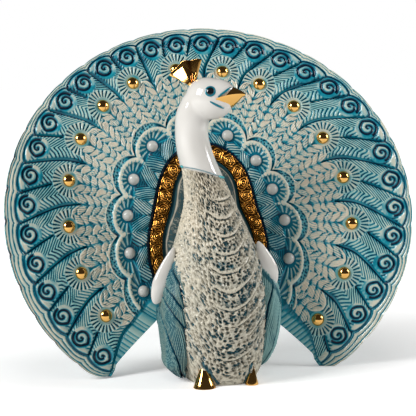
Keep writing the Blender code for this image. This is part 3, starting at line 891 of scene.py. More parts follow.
back = glazed_grid("tail_back", 610, 68, tail_back)
dress(back, tail_glaze)

# Gold band: a raised border of rosettes between the tail's roots and its mantle, brushed with gold
# lustre that goes brown in the hollows.

ROSETTE_PITCH = 0.0073
PETAL_PITCH = 1.25
LEAF_PITCH = 1.5


def gold_lustre(name, bright, deep, roughness, grain):
    """Fired gold: a thin metal film, warmer and darker where it lies in a hollow, and darker where the stain
    mark holds a painted dark reflection.
    """
    gold, tree, shader = new_glaze(name)
    cloud = noise(tree, 160.0, 3.0)
    tarnish_and_reflection = combine(tree, "ADD", read_mark(tree, "stain"), combine(tree, "MULTIPLY", cloud, grain))
    tree.links.new(colour_ramp(tree, tarnish_and_reflection, ((0.12, bright), (0.75, deep))), shader.inputs["Base Color"])
    shader.inputs["Metallic"].default_value = 1.0
    shader.inputs["Roughness"].default_value = roughness
    return gold


bright_gold = gold_lustre("bright_gold_lustre", (0.82, 0.46, 0.13, 1.0), (0.22, 0.08, 0.02, 1.0), 0.09, 0.10)
band_gold = gold_lustre("band_gold_lustre", (0.76, 0.35, 0.065, 1.0), (0.050, 0.015, 0.003, 1.0), 0.20, 0.22)

# the way along the band's middle line, by which its rosettes are spaced evenly
band_angles = np.linspace(-FAN_SPREAD, FAN_SPREAD, 2001)
band_middle = band_ring(band_angles) - BAND_WIDTH / 2
band_steps = np.hypot(band_middle[1:] * np.diff(band_angles), np.diff(band_middle))
band_runs = np.concatenate([[0.0], np.cumsum(band_steps)])


def gold_band(u, v):
    """Rosettes in a row, each turned by chance, with small leaves between them."""
    angle = (2 * u - 1) * FAN_SPREAD
    radius = band_ring(angle) - BAND_WIDTH * (1.0 - v)
    run = np.interp(angle, band_angles, band_runs) / ROSETTE_PITCH
    number = np.floor(run)
    p = (run - number - 0.5) * ROSETTE_PITCH * TO_MM
    q = (v - 0.5) * BAND_WIDTH * TO_MM + 0.5 * (mottle(number * 7.3, number * 1.7) - 0.5)
    reach = np.hypot(p, q)
    turn = np.arctan2(q, p) + 6.0 * mottle(number * 3.1, number * 5.7)
    rose = fade(reach, 3.3, 3.7)
    petals = waves(reach / PETAL_PITCH + turn / (2 * math.pi) + 0.12 * np.sin(5 * turn))
    bloom = 0.55 - 0.050 * reach**2 + 0.42 * petals
    leaf = np.cos(2 * math.pi * (np.abs(q) + 0.7 * np.abs(p)) / LEAF_PITCH + 3 * mottle(run * 4.0, v * 4.0))
    filler = -0.25 + 0.26 * leaf
    rise = over(rose, bloom, filler)
    stain = over(rose, 0.75 * ramp(-petals, -0.1, 0.9) + 0.02 * reach, 0.30 + 0.5 * ramp(-leaf, -0.3, 0.8))
    side = ramp(np.minimum(v, 1.0 - v), 0.0, 0.06)
    rise = 1.05 + 0.75 * rise * side - 1.6 * (1.0 - side)
    x, y, z = on_fan(angle, radius, rise * TO_METRES)
    return x, y, z, {"stain": stain}


band = glazed_grid("gold_band", 600, 30, gold_band)
dress(band, band_gold)

# Mantle: the swelling between the band and the bird's back, stippled with a pricking tool and
# washed grey-blue, with a pooled line along the band; its glaze is darkened as a painted shadow.

STIPPLE_PITCH = 1.05
# the mantle's swell in millimetres, at shares of the way from its middle to the band
SWELL_SHARES = (0.0, 0.06, 0.55, 0.85, 0.955, 1.0)
SWELL = (11.0, 10.9, 7.9, 3.5, -0.4, -0.3)


def mantle(u, v):
    """The stippled swelling, from its middle out to the band."""
    angle = (2 * u - 1) * FAN_SPREAD
    whole = band_ring(angle) - BAND_WIDTH + 0.0001
    share = 0.06 + 0.94 * v
    radius = whole * share
    gap = (whole - radius) * TO_MM
    mm = radius * TO_MM
    arc = angle * radius * TO_MM
    dots = fade(lumps(arc / STIPPLE_PITCH + 40.0, mm / STIPPLE_PITCH, 5, 0.15)[0], 0.20, 0.42)
    cloud = mottle(arc / 2.6 + 30.0, mm / 2.6)
    body = ramp(gap, 3.0, 3.4)
    rise = np.interp(share, SWELL_SHARES, SWELL) - body * 0.35 * dots + 0.2 * stroke_at(gap - 2.3, 0.2, 0.6)
    # a pale bead runs along the band, outside it a dark pooled line
    bead = stroke_at(gap - 2.5, 0.2, 0.45)
    # the strip between the stipple and the band is darkened as a painted shadow
    stain = over(body, 0.26 + 0.32 * dots + 0.45 * (cloud - 0.4), 0.40)
    stain = over(bead, 0.10, stain)
    stain = over(fade(gap, 1.6, 2.0), 0.70, stain)
    x, y, z = on_fan(angle, radius, rise * TO_METRES)
    return x, y, z, {"stain": stain, "wash": 0.75 - 0.65 * bead}


GREY_POOLS = (
    (0.10, (0.22, 0.22, 0.18, 1.0)),
    (0.40, (0.035, 0.055, 0.052, 1.0)),
    (0.72, (0.010, 0.055, 0.070, 1.0)),
    (1.00, (0.003, 0.02, 0.04, 1.0)),
)
# the mantle's beige and grey are darker than the tail's, a painted shadow of the bird and the tail
MANTLE_SHADOWED_BEIGE = (0.46, 0.38, 0.28, 1.0)
MANTLE_SHADOWED_GREY = (0.12, 0.16, 0.155, 1.0)
shadowed_mantle_glaze = washed_glaze("mantle_grey_glaze_and_shadow", MANTLE_SHADOWED_BEIGE, MANTLE_SHADOWED_GREY, GREY_POOLS, 0.60, 0.12)
cape = glazed_grid("mantle", 300, 50, mantle)
dress(cape, shadowed_mantle_glaze)

# Gold studs: sixteen small domes in the middle of the sunbursts, cast with the tail and gilded.
# One dome is made and copied; each is turned to face as the fan does where it stands.


def ball(segments, rings, radius=1.0):
    """A round ball at the origin, as the active object."""
    pick()
    bpy.ops.mesh.primitive_uv_sphere_add(segments=segments, ring_count=rings, radius=radius)
    return bpy.context.active_object


def slice_active(place, way, drop_below=True):
    """Cut the active piece along a plane, and drop and close what is below it, or only score it."""
    bpy.ops.object.mode_set(mode="EDIT")
    bpy.ops.mesh.select_all(action="SELECT")
    bpy.ops.mesh.bisect(plane_co=place, plane_no=way, clear_inner=drop_below, use_fill=drop_below)
    bpy.ops.object.mode_set(mode="OBJECT")


def facing(way):
    """The turn that brings a piece's upright to a way."""
    return way.to_track_quat("Z", "Y").to_matrix().to_4x4()


def join_as(name, copies):
    pick(*copies)
    bpy.ops.object.join()
    row = name_piece(name)
    bpy.ops.object.shade_smooth_by_angle(angle=math.radians(50.0))
    return row


def stud_row(name, places, radius, sink, flatten):
    """One dome, copied to every place given; each copy stands square to the fan."""
    first = ball(28, 16, radius)
    slice_active((0, 0, -0.35 * radius), (0, 0, 1))
    copies = []
    for angle, ring in places:
        low = Vector([float(c) for c in on_fan(angle, ring, -sink)])
        high = Vector([float(c) for c in on_fan(angle, ring, 0.01)])
        copy = first.copy()
        copy.data = first.data.copy()
        bpy.context.scene.collection.objects.link(copy)
        flat = Matrix.Diagonal((1.0, 1.0, flatten, 1.0))
        copy.data.transform(Matrix.Translation(low) @ facing(high - low) @ flat)
        copies.append(copy)
    bpy.data.objects.remove(first)
    return join_as(name, copies)


stud_places = [dome_place(k) for k in range(1, DOMES + 1)]
studs = stud_row("gold_studs", stud_places, DOME_RADIUS, 0.35 * DOME_RADIUS, 0.92)
add_marks(studs.data, {"stain": np.zeros(len(studs.data.vertices))})
dress(studs, bright_gold)

# Pearls: twelve smooth drops in the arches round the band, cast with the tail, glazed pale and
# left without stain.

PEARL_BEIGE = (0.44, 0.43, 0.40, 1.0)
PEARL_GREY = (0.34, 0.40, 0.41, 1.0)
pearl_glaze = washed_glaze("pearl_pale_glaze", PEARL_BEIGE, PEARL_GREY, GREY_POOLS, 0.14)
pearl_places = [pearl_place(k) for k in range(1, PEARLS + 1)]
pearls = stud_row("pearls", pearl_places, PEARL_RADIUS, 0.45 * PEARL_RADIUS, 1.0)
pearl_points = len(pearls.data.vertices)
add_marks(pearls.data, {"stain": np.zeros(pearl_points), "wash": np.full(pearl_points, 0.15)})
dress(pearls, pearl_glaze)

# Body: the standing bird from its base to its collar, slip cast, with a lacy breast of pricked
# scales that a stain fills with grey-blue. The underside is closed flat on the table.

BODY_HEIGHT = 0.109
BODY_HALF_WIDTH = 0.0265
BREAST_DEPTH = 0.0300
RUMP_DEPTH = 0.0370
NECK_LENGTH = 0.041
NECK_RADIUS = 0.0093
BODY_STATIONS = (
    # height share of the body, middle, breast, back, half width, squareness
    (-0.010, 0.000, 0.66, 0.98, 0.70, 0.72),
    (0.050, 0.000, 0.80, 1.00, 0.80, 0.75),
    (0.140, -0.020, 0.92, 0.97, 0.91, 0.85),
    (0.290, -0.030, 1.00, 0.90, 1.00, 0.95),
    (0.420, -0.040, 0.98, 0.84, 1.00, 1.00),
    (0.530, -0.060, 0.88, 0.80, 0.93, 1.00),
    (0.625, -0.087, 0.76, 0.72, 0.83, 1.00),
    (0.735, -0.140, 0.61, 0.56, 0.665, 1.00),
    (0.825, -0.190, 0.49, 0.40, 0.54, 1.00),
    (0.900, -0.255, 0.42, 0.32, 0.46, 1.00),
)
NECK_STATIONS = (
    # height share of the neck, middle, throat, nape, half width
    (0.00, -0.377, 1.10, 1.10, 1.08),
    (0.25, -0.500, 1.02, 0.98, 0.97),
    (0.50, -0.560, 0.97, 0.90, 0.90),
    (0.72, -0.525, 1.03, 0.82, 0.95),
    (0.95, -0.400, 1.08, 0.55, 0.92),
)
BODY_SIZES = np.array([BODY_HALF_WIDTH, BREAST_DEPTH, RUMP_DEPTH, BODY_HALF_WIDTH, 1.0])
NECK_SIZES = np.array([BODY_HALF_WIDTH, NECK_RADIUS, NECK_RADIUS, NECK_RADIUS])
stations = [np.concatenate([[row[0] * BODY_HEIGHT], np.array(row[1:]) * BODY_SIZES]) for row in BODY_STATIONS]
for row in NECK_STATIONS:
    height = BODY_HEIGHT + row[0] * NECK_LENGTH
    stations.append(np.concatenate([[height], np.array(row[1:]) * NECK_SIZES, [1.0]]))
body_table = np.array(stations)


def smooth_table(table, heights):
    """Read a profile of a few stations at many heights, with rounded turns."""
    knots = table[:, 0]
    slopes = np.gradient(table[:, 1:], knots, axis=0)
    k = np.clip(np.searchsorted(knots, heights) - 1, 0, len(knots) - 2)
    span = (knots[k + 1] - knots[k])[:, None]
    s = (heights[:, None] - knots[k][:, None]) / span
    return (
        (2 * s**3 - 3 * s**2 + 1) * table[k, 1:]
        + (s**3 - 2 * s**2 + s) * span * slopes[k]
        + (3 * s**2 - 2 * s**3) * table[k + 1, 1:]
        + (s**3 - s**2) * span * slopes[k + 1]
    )


def body_skin(turn, height, puff):
    """Places on the bird's body or neck, pushed out by a puff in metres."""
    middle, front, back, half, square = smooth_table(body_table, height).T
    c = np.sign(np.cos(turn)) * np.abs(np.cos(turn)) ** square
    s = np.sign(np.sin(turn)) * np.abs(np.sin(turn)) ** square
    x = middle + (half + puff) * c
    y = 0.5 * (back - front) + (0.5 * (front + back) + puff) * s
    return x, y, height


def collar_height(x):
    """The slanting edge where the lacy breast meets the smooth neck."""
    return 0.1116 - 0.0062 * np.clip((x + 0.0190) / 0.0185, 0.0, 1.3) ** 1.7


def at_collar(turn, puff):
    """The place on the skin at a turn, level with the collar's slanting edge there."""
    x, y, z = body_skin(turn, np.full(len(turn), BODY_HEIGHT), 0.0)
    return body_skin(turn, collar_height(x), puff)


CUP_PITCH = 8.86
CUP_LOWEST = 15.3
BREAST_SINK = 0.85
# each streak's upper and lower end: across and up, in millimetres
TOE_STREAKS = ((-14.3, 12.9, -5.5, 1.4), (12.4, 11.4, 9.2, 1.1))


def toe_streak(mm_x, mm_z, streak):
    """One on a short straight stroke, nought away from it."""
    x_high, z_high, x_low, z_low = streak
    span_x = x_low - x_high
    span_z = z_low - z_high
    run = ((mm_x - x_high) * span_x + (mm_z - z_high) * span_z) / (span_x**2 + span_z**2)
    run = np.clip(run, 0.0, 1.0)
    return fade(np.hypot(mm_x - x_high - run * span_x, mm_z - z_high - run * span_z), 0.5, 0.95)


def breast(u, v):
    """The breast and belly from the base up to the collar, with its scales and its lace."""
    turn = 2 * math.pi * u - 0.45 * np.sin(2 * math.pi * (u - 0.75))
    height = v * at_collar(turn, 0.0)[2]
    x, y, z = body_skin(turn, height, 0.0)
    mm_x = x * TO_MM
    mm_z = z * TO_MM
    arc = (turn - 1.5 * math.pi) * 25.0
    drift = mm_x + 1.0
    # overlapping scales with smooth rims, each hanging lowest at the middle of the breast
    sag = np.where(drift < 0, 0.046, 0.036 + 0.028 * ramp(mm_z, 55.0, 85.0)) * drift**2
    cup = mm_z - sag - 1.3 * (mottle(mm_x / 6.0 + 9.0, mm_z / 6.0) - 0.5)
    share = (cup - CUP_LOWEST) / CUP_PITCH
    hang = (share - np.floor(share)) * CUP_PITCH
    off_rim = np.minimum(hang, CUP_PITCH - hang)
    facing_front = ramp(-np.sin(turn), -0.35, 0.1)
    shown = facing_front * ramp(drift, -13.0, -3.0) * fade(mm_z, 95.0, 101.0) * ramp(mm_z, 8.0, 13.0)
    shown = shown * (0.35 + 0.65 * ramp(mottle(mm_x / 7.0, np.round(share) * 3.1), 0.20, 0.50))
    rim = np.clip(1.0 - (off_rim / 0.80) ** 2, 0.0, 1.0) ** 0.5 * shown
    # under each rim a real groove is cut, and its dark stain is a painted shadow cast by the rim
    under = stroke_at(CUP_PITCH - hang - 1.15, 0.1, 0.55) * shown
    face = ramp(hang, 0.7, 1.4) * fade(hang, 3.5, 6.5) * shown
    # lace between them: deep pits among knobs, and fine pricks
    slant = arc + 0.25 * cup
    wander = 0.5 * (mottle(arc / 3.0, cup / 3.0 + 40.0) - 0.5)
    deep, next_deep = lumps(slant / 2.60 + 30.0 + wander, cup / 1.75 + 80.0 + wander, 9, 0.12)
    fine = lumps(slant / 1.35 + 70.0 + wander, cup + 20.0, 4, 0.12)[0]
    patch = mottle(arc / 2.7 + 3.0, cup / 2.2 + 5.0)
    wide_patch = mottle(arc / 9.0, cup / 9.0 + 31.0)
    pit = fade(deep, 0.16, 0.44 + 0.12 * (patch - 0.5))
    prick = fade(fine, 0.12, 0.36)
    knob = ramp(next_deep - deep, 0.0, 0.25)
    lower = fade(mm_z, 55.0, 90.0)
    rise = 0.35 - 1.55 * pit - 0.60 * prick + 0.30 * (1.0 - knob) + 0.40 * (patch - 0.5)
    stain = pit * (0.32 + 0.50 * ramp(patch, 0.40, 0.75) * (0.5 + 0.5 * lower))
    stain = stain + 0.30 * prick * (0.35 + patch)
    stain = stain * (0.65 + 0.60 * wide_patch) + face * (0.08 + 0.24 * patch * (0.4 + 0.6 * lower))
    lace = Relief(rise, stain, 0.04 + 0.40 * wide_patch * patch + 0.25 * face + 0.22 * lower)
    lace.coat(ramp(rim, 0.0, 0.5), 0.30 + 0.40 * rim, 0.05 + 0.2 * prick)
    lace.add(rise=-0.75 * under)
    lace.stain = np.maximum(lace.stain, 0.46 * under)
    # the relief dies away towards the base, where a stroke of blue lies beside each gilded toe
    smooth_base = fade(mm_z - 0.35 * np.maximum(-mm_x, 0.0), 2.0, 8.0)
    lace.rise = lace.rise * (1.0 - 0.5 * smooth_base)
    lace.stain = lace.stain * (1.0 - 0.6 * smooth_base)
    for streak in TOE_STREAKS:
        stroke = toe_streak(mm_x, mm_z, streak) * ramp(-np.sin(turn), 0.3, 0.5)
        lace.coat(stroke, stain=0.68)
        lace.add(rise=-0.4 * stroke)
    x, y, z = body_skin(turn, height, (lace.rise * ramp(mm_z, 0.0, 1.5) - BREAST_SINK) * TO_METRES)
    return x, y, z, lace.marks()


def close_skin(piece):
    """Sew a rolled grid along its seam and close its ends."""
    pick(piece)
    bpy.ops.object.mode_set(mode="EDIT")
    bpy.ops.mesh.select_all(action="SELECT")
    bpy.ops.mesh.remove_doubles(threshold=0.00001)
    bpy.ops.object.mode_set(mode="OBJECT")
    mesh = bmesh.new()
    mesh.from_mesh(piece.data)
    loose = [edge for edge in mesh.edges if len(edge.link_faces) == 1]
    bmesh.ops.holes_fill(mesh, edges=loose, sides=0)
    bmesh.ops.recalc_face_normals(mesh, faces=mesh.faces)
    mesh.to_mesh(piece.data)
    mesh.free()


LACE_POOLS = (
    (0.08, (0.40, 0.35, 0.27, 1.0)),
    (0.32, (0.11, 0.12, 0.10, 1.0)),
    (0.60, (0.030, 0.130, 0.165, 1.0)),
    (0.92, (0.012, 0.060, 0.085, 1.0)),
)
BREAST_BEIGE = (0.69, 0.60, 0.455, 1.0)
BREAST_GREY = (0.30, 0.35, 0.31, 1.0)
breast_glaze = washed_glaze("breast_beige_glaze", BREAST_BEIGE, BREAST_GREY, LACE_POOLS, 0.20)
breast_skin = glazed_grid("breast", 312, 240, breast)
close_skin(breast_skin)
dress(breast_skin, breast_glaze)

# Rump: the bird's lower back swells out behind the fan to meet it, with rows of overlapping scales
# under the same glaze as the tail's back.

RUMP_ROWS = 12
RUMP_SCALES = 18

rump = ball(108, 72)
name_piece("rump")
points = read_places(rump.data)
girth = np.sqrt(np.clip(1.0 - points[:, 2] ** 2, 0.0, 1.0))
row = (points[:, 2] + 1.0) * (RUMP_ROWS / 2)
scale = np.arctan2(points[:, 1], points[:, 0]) * RUMP_SCALES / (2 * math.pi) + 0.5 * (np.floor(row) % 2)
scale_aside = scale - np.floor(scale) - 0.5
scale_up = row - np.floor(row) - 1.3 * scale_aside**2
scale_lift = ramp(scale_up, -0.30, 0.10) * girth
points[:, :2] *= (0.970 + 0.022 * scale_lift)[:, None]
rump.data.vertices.foreach_set("co", points.ravel())
rump_place = Matrix.Translation((0.0, 0.68 * RUMP_DEPTH, 0.52 * BODY_HEIGHT))
rump_size = Matrix.Diagonal((0.86 * BODY_HALF_WIDTH, 0.42 * RUMP_DEPTH, 0.37 * BODY_HEIGHT, 1.0))
rump.data.transform(rump_place @ Matrix.Rotation(-0.6 * FAN_LEAN, 4, "X") @ rump_size)
add_marks(rump.data, {"stain": 0.62 * (1.0 - scale_lift) * girth + 0.1, "wash": np.full(len(girth), 0.75)})
# only what is behind the fan stays
fan_plane = (0.0, FAN_CENTRE_BACK + 0.0020, FAN_CENTRE_HEIGHT)
slice_active(fan_plane, (0.0, math.cos(FAN_LEAN), -math.sin(FAN_LEAN)))
bpy.ops.object.shade_smooth_by_angle(angle=math.radians(60.0))
dress(rump, tail_glaze)

# Wings: two folded leaves that stand off the flanks, combed with long grooves and washed turquoise,
# with darker glaze where one row of feathers lies over the next.

WING_HEIGHT = 0.066
WING_HALF_DEPTH = 0.021
WING_OUTER = 0.0325
WING_BACK = 0.0025
WING_LOWEST = 0.0025
COMB_PITCH = 1.22
FRINGE_PITCH = 2.1


def wing_rule(side, fullness_and_shade, edge_lines, band_start, band_slope):
    """A rule for one wing; the left is fuller and its feather rows lie lower, and its glaze is painted darker
    and the right's lighter, as painted shade and light.
    """
    # share of the wing's height, its reach and half thickness, and its depth from front to back
    profile = np.array([
        (0.00, 0.52 + 0.22 * fullness_and_shade, 0.0030, 0.24 + 0.30 * fullness_and_shade),
        (0.06, 0.74 + 0.15 * fullness_and_shade, 0.0060, 0.52 + 0.22 * fullness_and_shade),
        (0.16, 0.88 + 0.05 * fullness_and_shade, 0.0080, 0.76 + 0.10 * fullness_and_shade),
        (0.30, 0.965, 0.0095, 0.93),
        (0.50, 1.00, 0.0105, 1.00),
        (0.68, 0.97, 0.0100, 0.90),
        (0.84, 0.86, 0.0085, 0.66),
        (1.00, 0.66, 0.0045, 0.28),
    ])

    def wing(u, v):
        turn = 2 * math.pi * u
        reach, thick, depth = smooth_table(profile, v).T
        down = (1.0 - v) * WING_HEIGHT * TO_MM
        ellipse = 0.5 * (thick + WING_HALF_DEPTH * depth) * TO_MM
        from_front = (turn - 1.5 * math.pi + math.pi) % (2 * math.pi) - math.pi
        arc = ellipse * (from_front - 0.12 * np.sin(2 * from_front)) * 1.05
        cloud = mottle(arc / 4.0 + 20.0, down / 9.0)
        grain = mottle(arc / 0.8 + 9.0, down / 2.2)
        # each row of feathers overlaps the next along a long curved edge
        edges = [np.interp(down, places[0], places[1]) for places in edge_lines]
        layer = arc - edges[0]
        cut = np.zeros(len(u))
        step = np.zeros(len(u))
        for edge in edges:
            past = arc - edge
            layer = np.where(past > 0, past, layer)
            cut = np.maximum(cut, stroke_at(past - 0.35, 0.35, 1.05) * ramp(down, 4.0, 10.0))
            step = np.maximum(step, np.where(past < 0, 1.0 - np.clip(-past / 5.0, 0.0, 1.0), 0.0))
        comb = waves((layer + 0.9 * cloud + 0.05 * down) / COMB_PITCH)
        quill = stroke_at(layer - 3.4, 0.3, 0.8)
        fringe = waves(arc / FRINGE_PITCH) * ramp(down, 58.0, 65.0)
        rise = 0.38 * comb - 1.00 * cut + 0.30 * step + 0.25 * quill - 0.40 + 0.25 * fringe
        stain = 0.08 + 0.80 * ramp(-comb, -0.1, 0.8) * (0.3 + 0.9 * cloud) + 0.18 * (grain - 0.5)
        # the left wing's stain is deepened as a painted shade
        stain = stain * (0.55 + 0.45 * fullness_and_shade) - 0.16 * step - 0.25 * quill + 0.25 * ramp(-fringe, 0.2, 0.9)
        stain = over(cut, 0.90, stain)
        # a raised band runs down and back from under the shoulder
        past_band = down - 10.1 - band_slope * (arc - band_start)
        band = stroke_at(past_band, 1.6, 2.5) * ramp(arc - band_start, -6.0, -3.0)
        stain = over(band, 0.36, stain)
        rise = (rise + 0.5 * band) * TO_METRES
        # the right wing's wash is lighter and the left's darker, painted light and shade between the two
        # sides
        wash = 0.90 - 0.72 * fullness_and_shade + 0.6 * (cloud - 0.3) - 0.4 * step
        x = side * (reach * WING_OUTER - thick + (thick + rise) * np.cos(turn))
        y = WING_BACK + (WING_HALF_DEPTH * depth + rise) * np.sin(turn)
        z = WING_LOWEST + v * WING_HEIGHT + 0.0009 * fringe * (1.0 - v)
        return x, y, z, Relief(rise, stain, wash).marks()

    return wing


# for each row's edge: distances below the wing's top, and arcs back from its front, in millimetres
LEFT_WING_EDGES = (
    ((0.0, 7.5, 16.3, 29.5, 62.0), (20.0, 11.8, 3.1, -1.6, -6.0)),
    ((0.0, 17.2, 22.0, 26.5, 29.5, 62.0), (26.0, 17.6, 7.5, 2.6, -1.0, -5.0)),
    ((0.0, 23.5, 30.1, 34.6, 38.2, 62.0), (32.0, 17.3, 8.2, 3.1, -0.4, -5.5)),
    ((0.0, 32.5, 40.0, 50.3, 59.3, 62.0), (38.0, 21.9, 13.9, 7.5, 1.0, 0.0)),
)
RIGHT_WING_EDGES = (
    ((0.0, 14.8, 28.0, 41.0, 62.0), (-6.0, -5.5, -8.0, -8.5, -6.0)),
    ((0.0, 19.9, 27.7, 40.9, 55.4, 62.0), (9.0, 4.0, -0.5, -3.7, -3.8, -3.8)),
    ((0.0, 20.0, 33.0, 62.0), (17.0, 13.0, 9.0, 2.0)),
    ((0.0, 25.0, 45.0, 62.0), (27.0, 22.0, 16.0, 9.0)),
)
WING_POOLS = (
    (0.10, (0.050, 0.155, 0.165, 1.0)),
    (0.38, (0.008, 0.10, 0.135, 1.0)),
    (0.66, (0.001, 0.048, 0.082, 1.0)),
    (0.94, (0.001, 0.012, 0.03, 1.0)),
)
WING_DEEP = (0.085, 0.145, 0.125, 1.0)
WING_TURQUOISE = (0.17, 0.37, 0.37, 1.0)
wing_glaze = washed_glaze("wing_turquoise_glaze", WING_DEEP, WING_TURQUOISE, WING_POOLS, 0.30, 0.15)
for label, side, fullness_and_shade, edge_lines, band_start, band_slope in (
    ("left", -1.0, 1.0, LEFT_WING_EDGES, 11.5, 1.33),
    ("right", 1.0, 0.0, RIGHT_WING_EDGES, -1.0, 1.22),
):
    rule = wing_rule(side, fullness_and_shade, edge_lines, band_start, band_slope)
    wing = glazed_grid("wing_" + label, 192, 128, rule)
    close_skin(wing)
    dress(wing, wing_glaze)

# White glaze: shoulders, neck and head are smooth, without carving, and dipped in a plain glossy
# white. The head is one soft form with the neck, so both are merged and smoothed as one skin.

SHOULDER_LENGTH = 0.031
SHOULDER_RADIUS = 0.0056
HEAD_HALF_LENGTH = 0.0126
HEAD_HALF_WIDTH = 0.0092
HEAD_HALF_HEIGHT = 0.0106
HEAD_TURN = math.radians(60.0)
HEAD_NOD = math.radians(16.0)
HEAD_LOOK = Vector((math.sin(HEAD_TURN), -math.cos(HEAD_TURN), 0.0))
HEAD_CENTRE = Vector((-0.25 * BODY_HALF_WIDTH, -0.0064, BODY_HEIGHT + NECK_LENGTH - 0.0035))
FACE_CENTRE = HEAD_CENTRE + HEAD_LOOK * 0.0020 + Vector((0.0, 0.0, 0.0030))
FACE_SIZE = (0.0078, 0.0073, 0.0118)
SKIN_GRAIN = 0.0007

white_glaze, white_tree, white_shader = new_glaze("glossy_white_glaze")
white_shader.inputs["Roughness"].default_value = 0.10
white_shader.inputs["Coat Weight"].default_value = 0.5
white_shader.inputs["Coat Roughness"].default_value = 0.03
white_cloud = noise(white_tree, 60.0, 3.0)
white_tree.links.new(
    blend_colours(white_tree, white_cloud, (0.615, 0.595, 0.555, 1.0), (0.70, 0.68, 0.645, 1.0)),
    white_shader.inputs["Base Color"],
)

for label, side, out, deep, high, size in (
    ("left", -1.0, 0.910, -0.0020, 0.835, 1.0),
    ("right", 1.0, 0.700, -0.0085, 0.92, 0.80),
):
    shoulder = ball(64, 48)
    name_piece("shoulder_" + label)
    for vert in shoulder.data.vertices:
        slim = 0.50 + 0.50 * min(1.0, (vert.co.z + 1.0) / 1.3)
        vert.co.x *= slim
        vert.co.y *= slim
    shape = Matrix.Diagonal((0.50 * SHOULDER_RADIUS, 0.95 * SHOULDER_RADIUS, size * SHOULDER_LENGTH / 2, 1.0))
    place = Matrix.Translation((side * out * WING_OUTER, deep, high * WING_HEIGHT))
    shoulder.data.transform(place @ facing(Vector((side * 0.36, -0.05, -1.0))) @ shape)
    bpy.ops.object.shade_smooth()
    dress(shoulder, white_glaze)


def neck(u, v):
    """The plain neck, from a little under the collar's edge to inside the head."""
    turn = 2 * math.pi * u
    low = at_collar(turn, 0.0)[2] - 0.0012
    height = low + (BODY_HEIGHT + 0.95 * NECK_LENGTH - low) * v
    x, y, z = body_skin(turn, height, 0.0002)
    return x, y, z, {}


def head_form(centre, way, half_width, half_height, half_length):
    """One egg of the head, laid along a way."""
    form = ball(64, 48)
    size = Matrix.Diagonal((half_width, half_height, half_length, 1.0))
    form.data.transform(Matrix.Translation(centre) @ facing(way) @ size)
    return form


neck_skin = glazed_grid("neck_and_head", 72, 60, neck)
close_skin(neck_skin)
nod_way = Vector((HEAD_LOOK.x, HEAD_LOOK.y, -math.tan(HEAD_NOD))).normalized()
skull = head_form(HEAD_CENTRE, nod_way, HEAD_HALF_WIDTH, HEAD_HALF_HEIGHT, HEAD_HALF_LENGTH)
face = head_form(FACE_CENTRE, HEAD_LOOK, *FACE_SIZE)
pick(neck_skin, skull, face)
bpy.ops.object.join()
bpy.ops.object.modifier_add(type="REMESH")
neck_skin.modifiers[-1].mode = "VOXEL"
neck_skin.modifiers[-1].voxel_size = SKIN_GRAIN
bpy.ops.object.modifier_apply(modifier=neck_skin.modifiers[-1].name)
bpy.ops.object.modifier_add(type="SMOOTH")
neck_skin.modifiers[-1].factor = 0.5
neck_skin.modifiers[-1].iterations = 14
bpy.ops.object.modifier_apply(modifier=neck_skin.modifiers[-1].name)
bpy.ops.object.shade_smooth()
dress(neck_skin, white_glaze)

# Beak: two short gilded halves that meet along a sharp edge, with the white face running out over
# the upper one. Each is a tapered, ridged wedge.

BEAK_LENGTH = 0.0124
BEAK_TIP = 0.5 * HEAD_HALF_LENGTH + BEAK_LENGTH + 0.0002
beak_side = HEAD_LOOK.cross(Vector((0.0, 0.0, 1.0)))
# along the beak, its half width, mouth line, culmen and chin, in metres from the head's centre
beak_table = np.array([
    (0.0058, 0.0082, 0.0004, 0.0066, -0.0062),
    (0.0090, 0.0076, 0.0015, 0.0066, -0.0066),
    (0.0120, 0.0060, 0.0023, 0.0062, -0.0044),
    (0.0150, 0.0037, 0.0027, 0.0050, -0.0017),
    (0.0175, 0.0016, 0.0027, 0.0038, 0.0010),
    (BEAK_TIP, 0.0003, 0.0025, 0.0028, 0.0018),
])


def beak_half(start_side, start_middle, lower):
    """A rule for one half of the beak, which starts further back at its sides than on its ridge."""

    def beak(u, v):
        turn = 2 * math.pi * u
        c = np.cos(turn)
        s = np.sin(turn)
        start = start_side + (start_middle - start_side) * np.abs(s)
        along = start + (BEAK_TIP - start) * v
        half, mouth, culmen, chin = smooth_table(beak_table, along).T
        out = np.sign(c) * np.abs(c) ** 1.5
        up = np.sign(s) * np.abs(s) ** 1.5
        high = np.where(s > 0, 0.0002 if lower else culmen - mouth, mouth - chin if lower else 0.0002)
        spots = [HEAD_CENTRE[i] + HEAD_LOOK[i] * along + beak_side[i] * half * out for i in range(3)]
        spots[2] = spots[2] + mouth + high * up
        return spots[0], spots[1], spots[2], {"stain": 0.25 * (1.0 - ramp(np.abs(s), 0.0, 0.12))}

    return beak


for label, start_side, start_middle, lower in (
    ("lower", 0.0058, 0.0075, True),
    ("upper", 0.0108, 0.0128, False),
):
    half_skin = glazed_grid("beak_" + label, 96, 40, beak_half(start_side, start_middle, lower))
    close_skin(half_skin)
    bpy.ops.object.shade_smooth_by_angle(angle=math.radians(40.0))
    dress(half_skin, bright_gold)

# Eyes and painted lines: a dark glassy pupil in a teal ring on each side of the head, and fine
# strokes of teal above the nostrils and along the jaw, all painted under the glossy glaze.

EYE_RADIUS = 0.0028
PUPIL_RADIUS = 0.0021


def paint(name, colour, second, roughness):
    """A brushed colour under the glaze, uneven between two tones."""
    colour_glaze, tree, shader = new_glaze(name)
    tree.links.new(blend_colours(tree, noise(tree, 500.0, 3.0), colour, second), shader.inputs["Base Color"])
    shader.inputs["Roughness"].default_value = roughness
    return colour_glaze


teal_paint = paint("teal_underglaze", (0.002, 0.10, 0.16, 1.0), (0.01, 0.22, 0.28, 1.0), 0.10)
pupil_paint = paint("dark_pupil_glaze", (0.002, 0.003, 0.004, 1.0), (0.008, 0.012, 0.016, 1.0), 0.04)


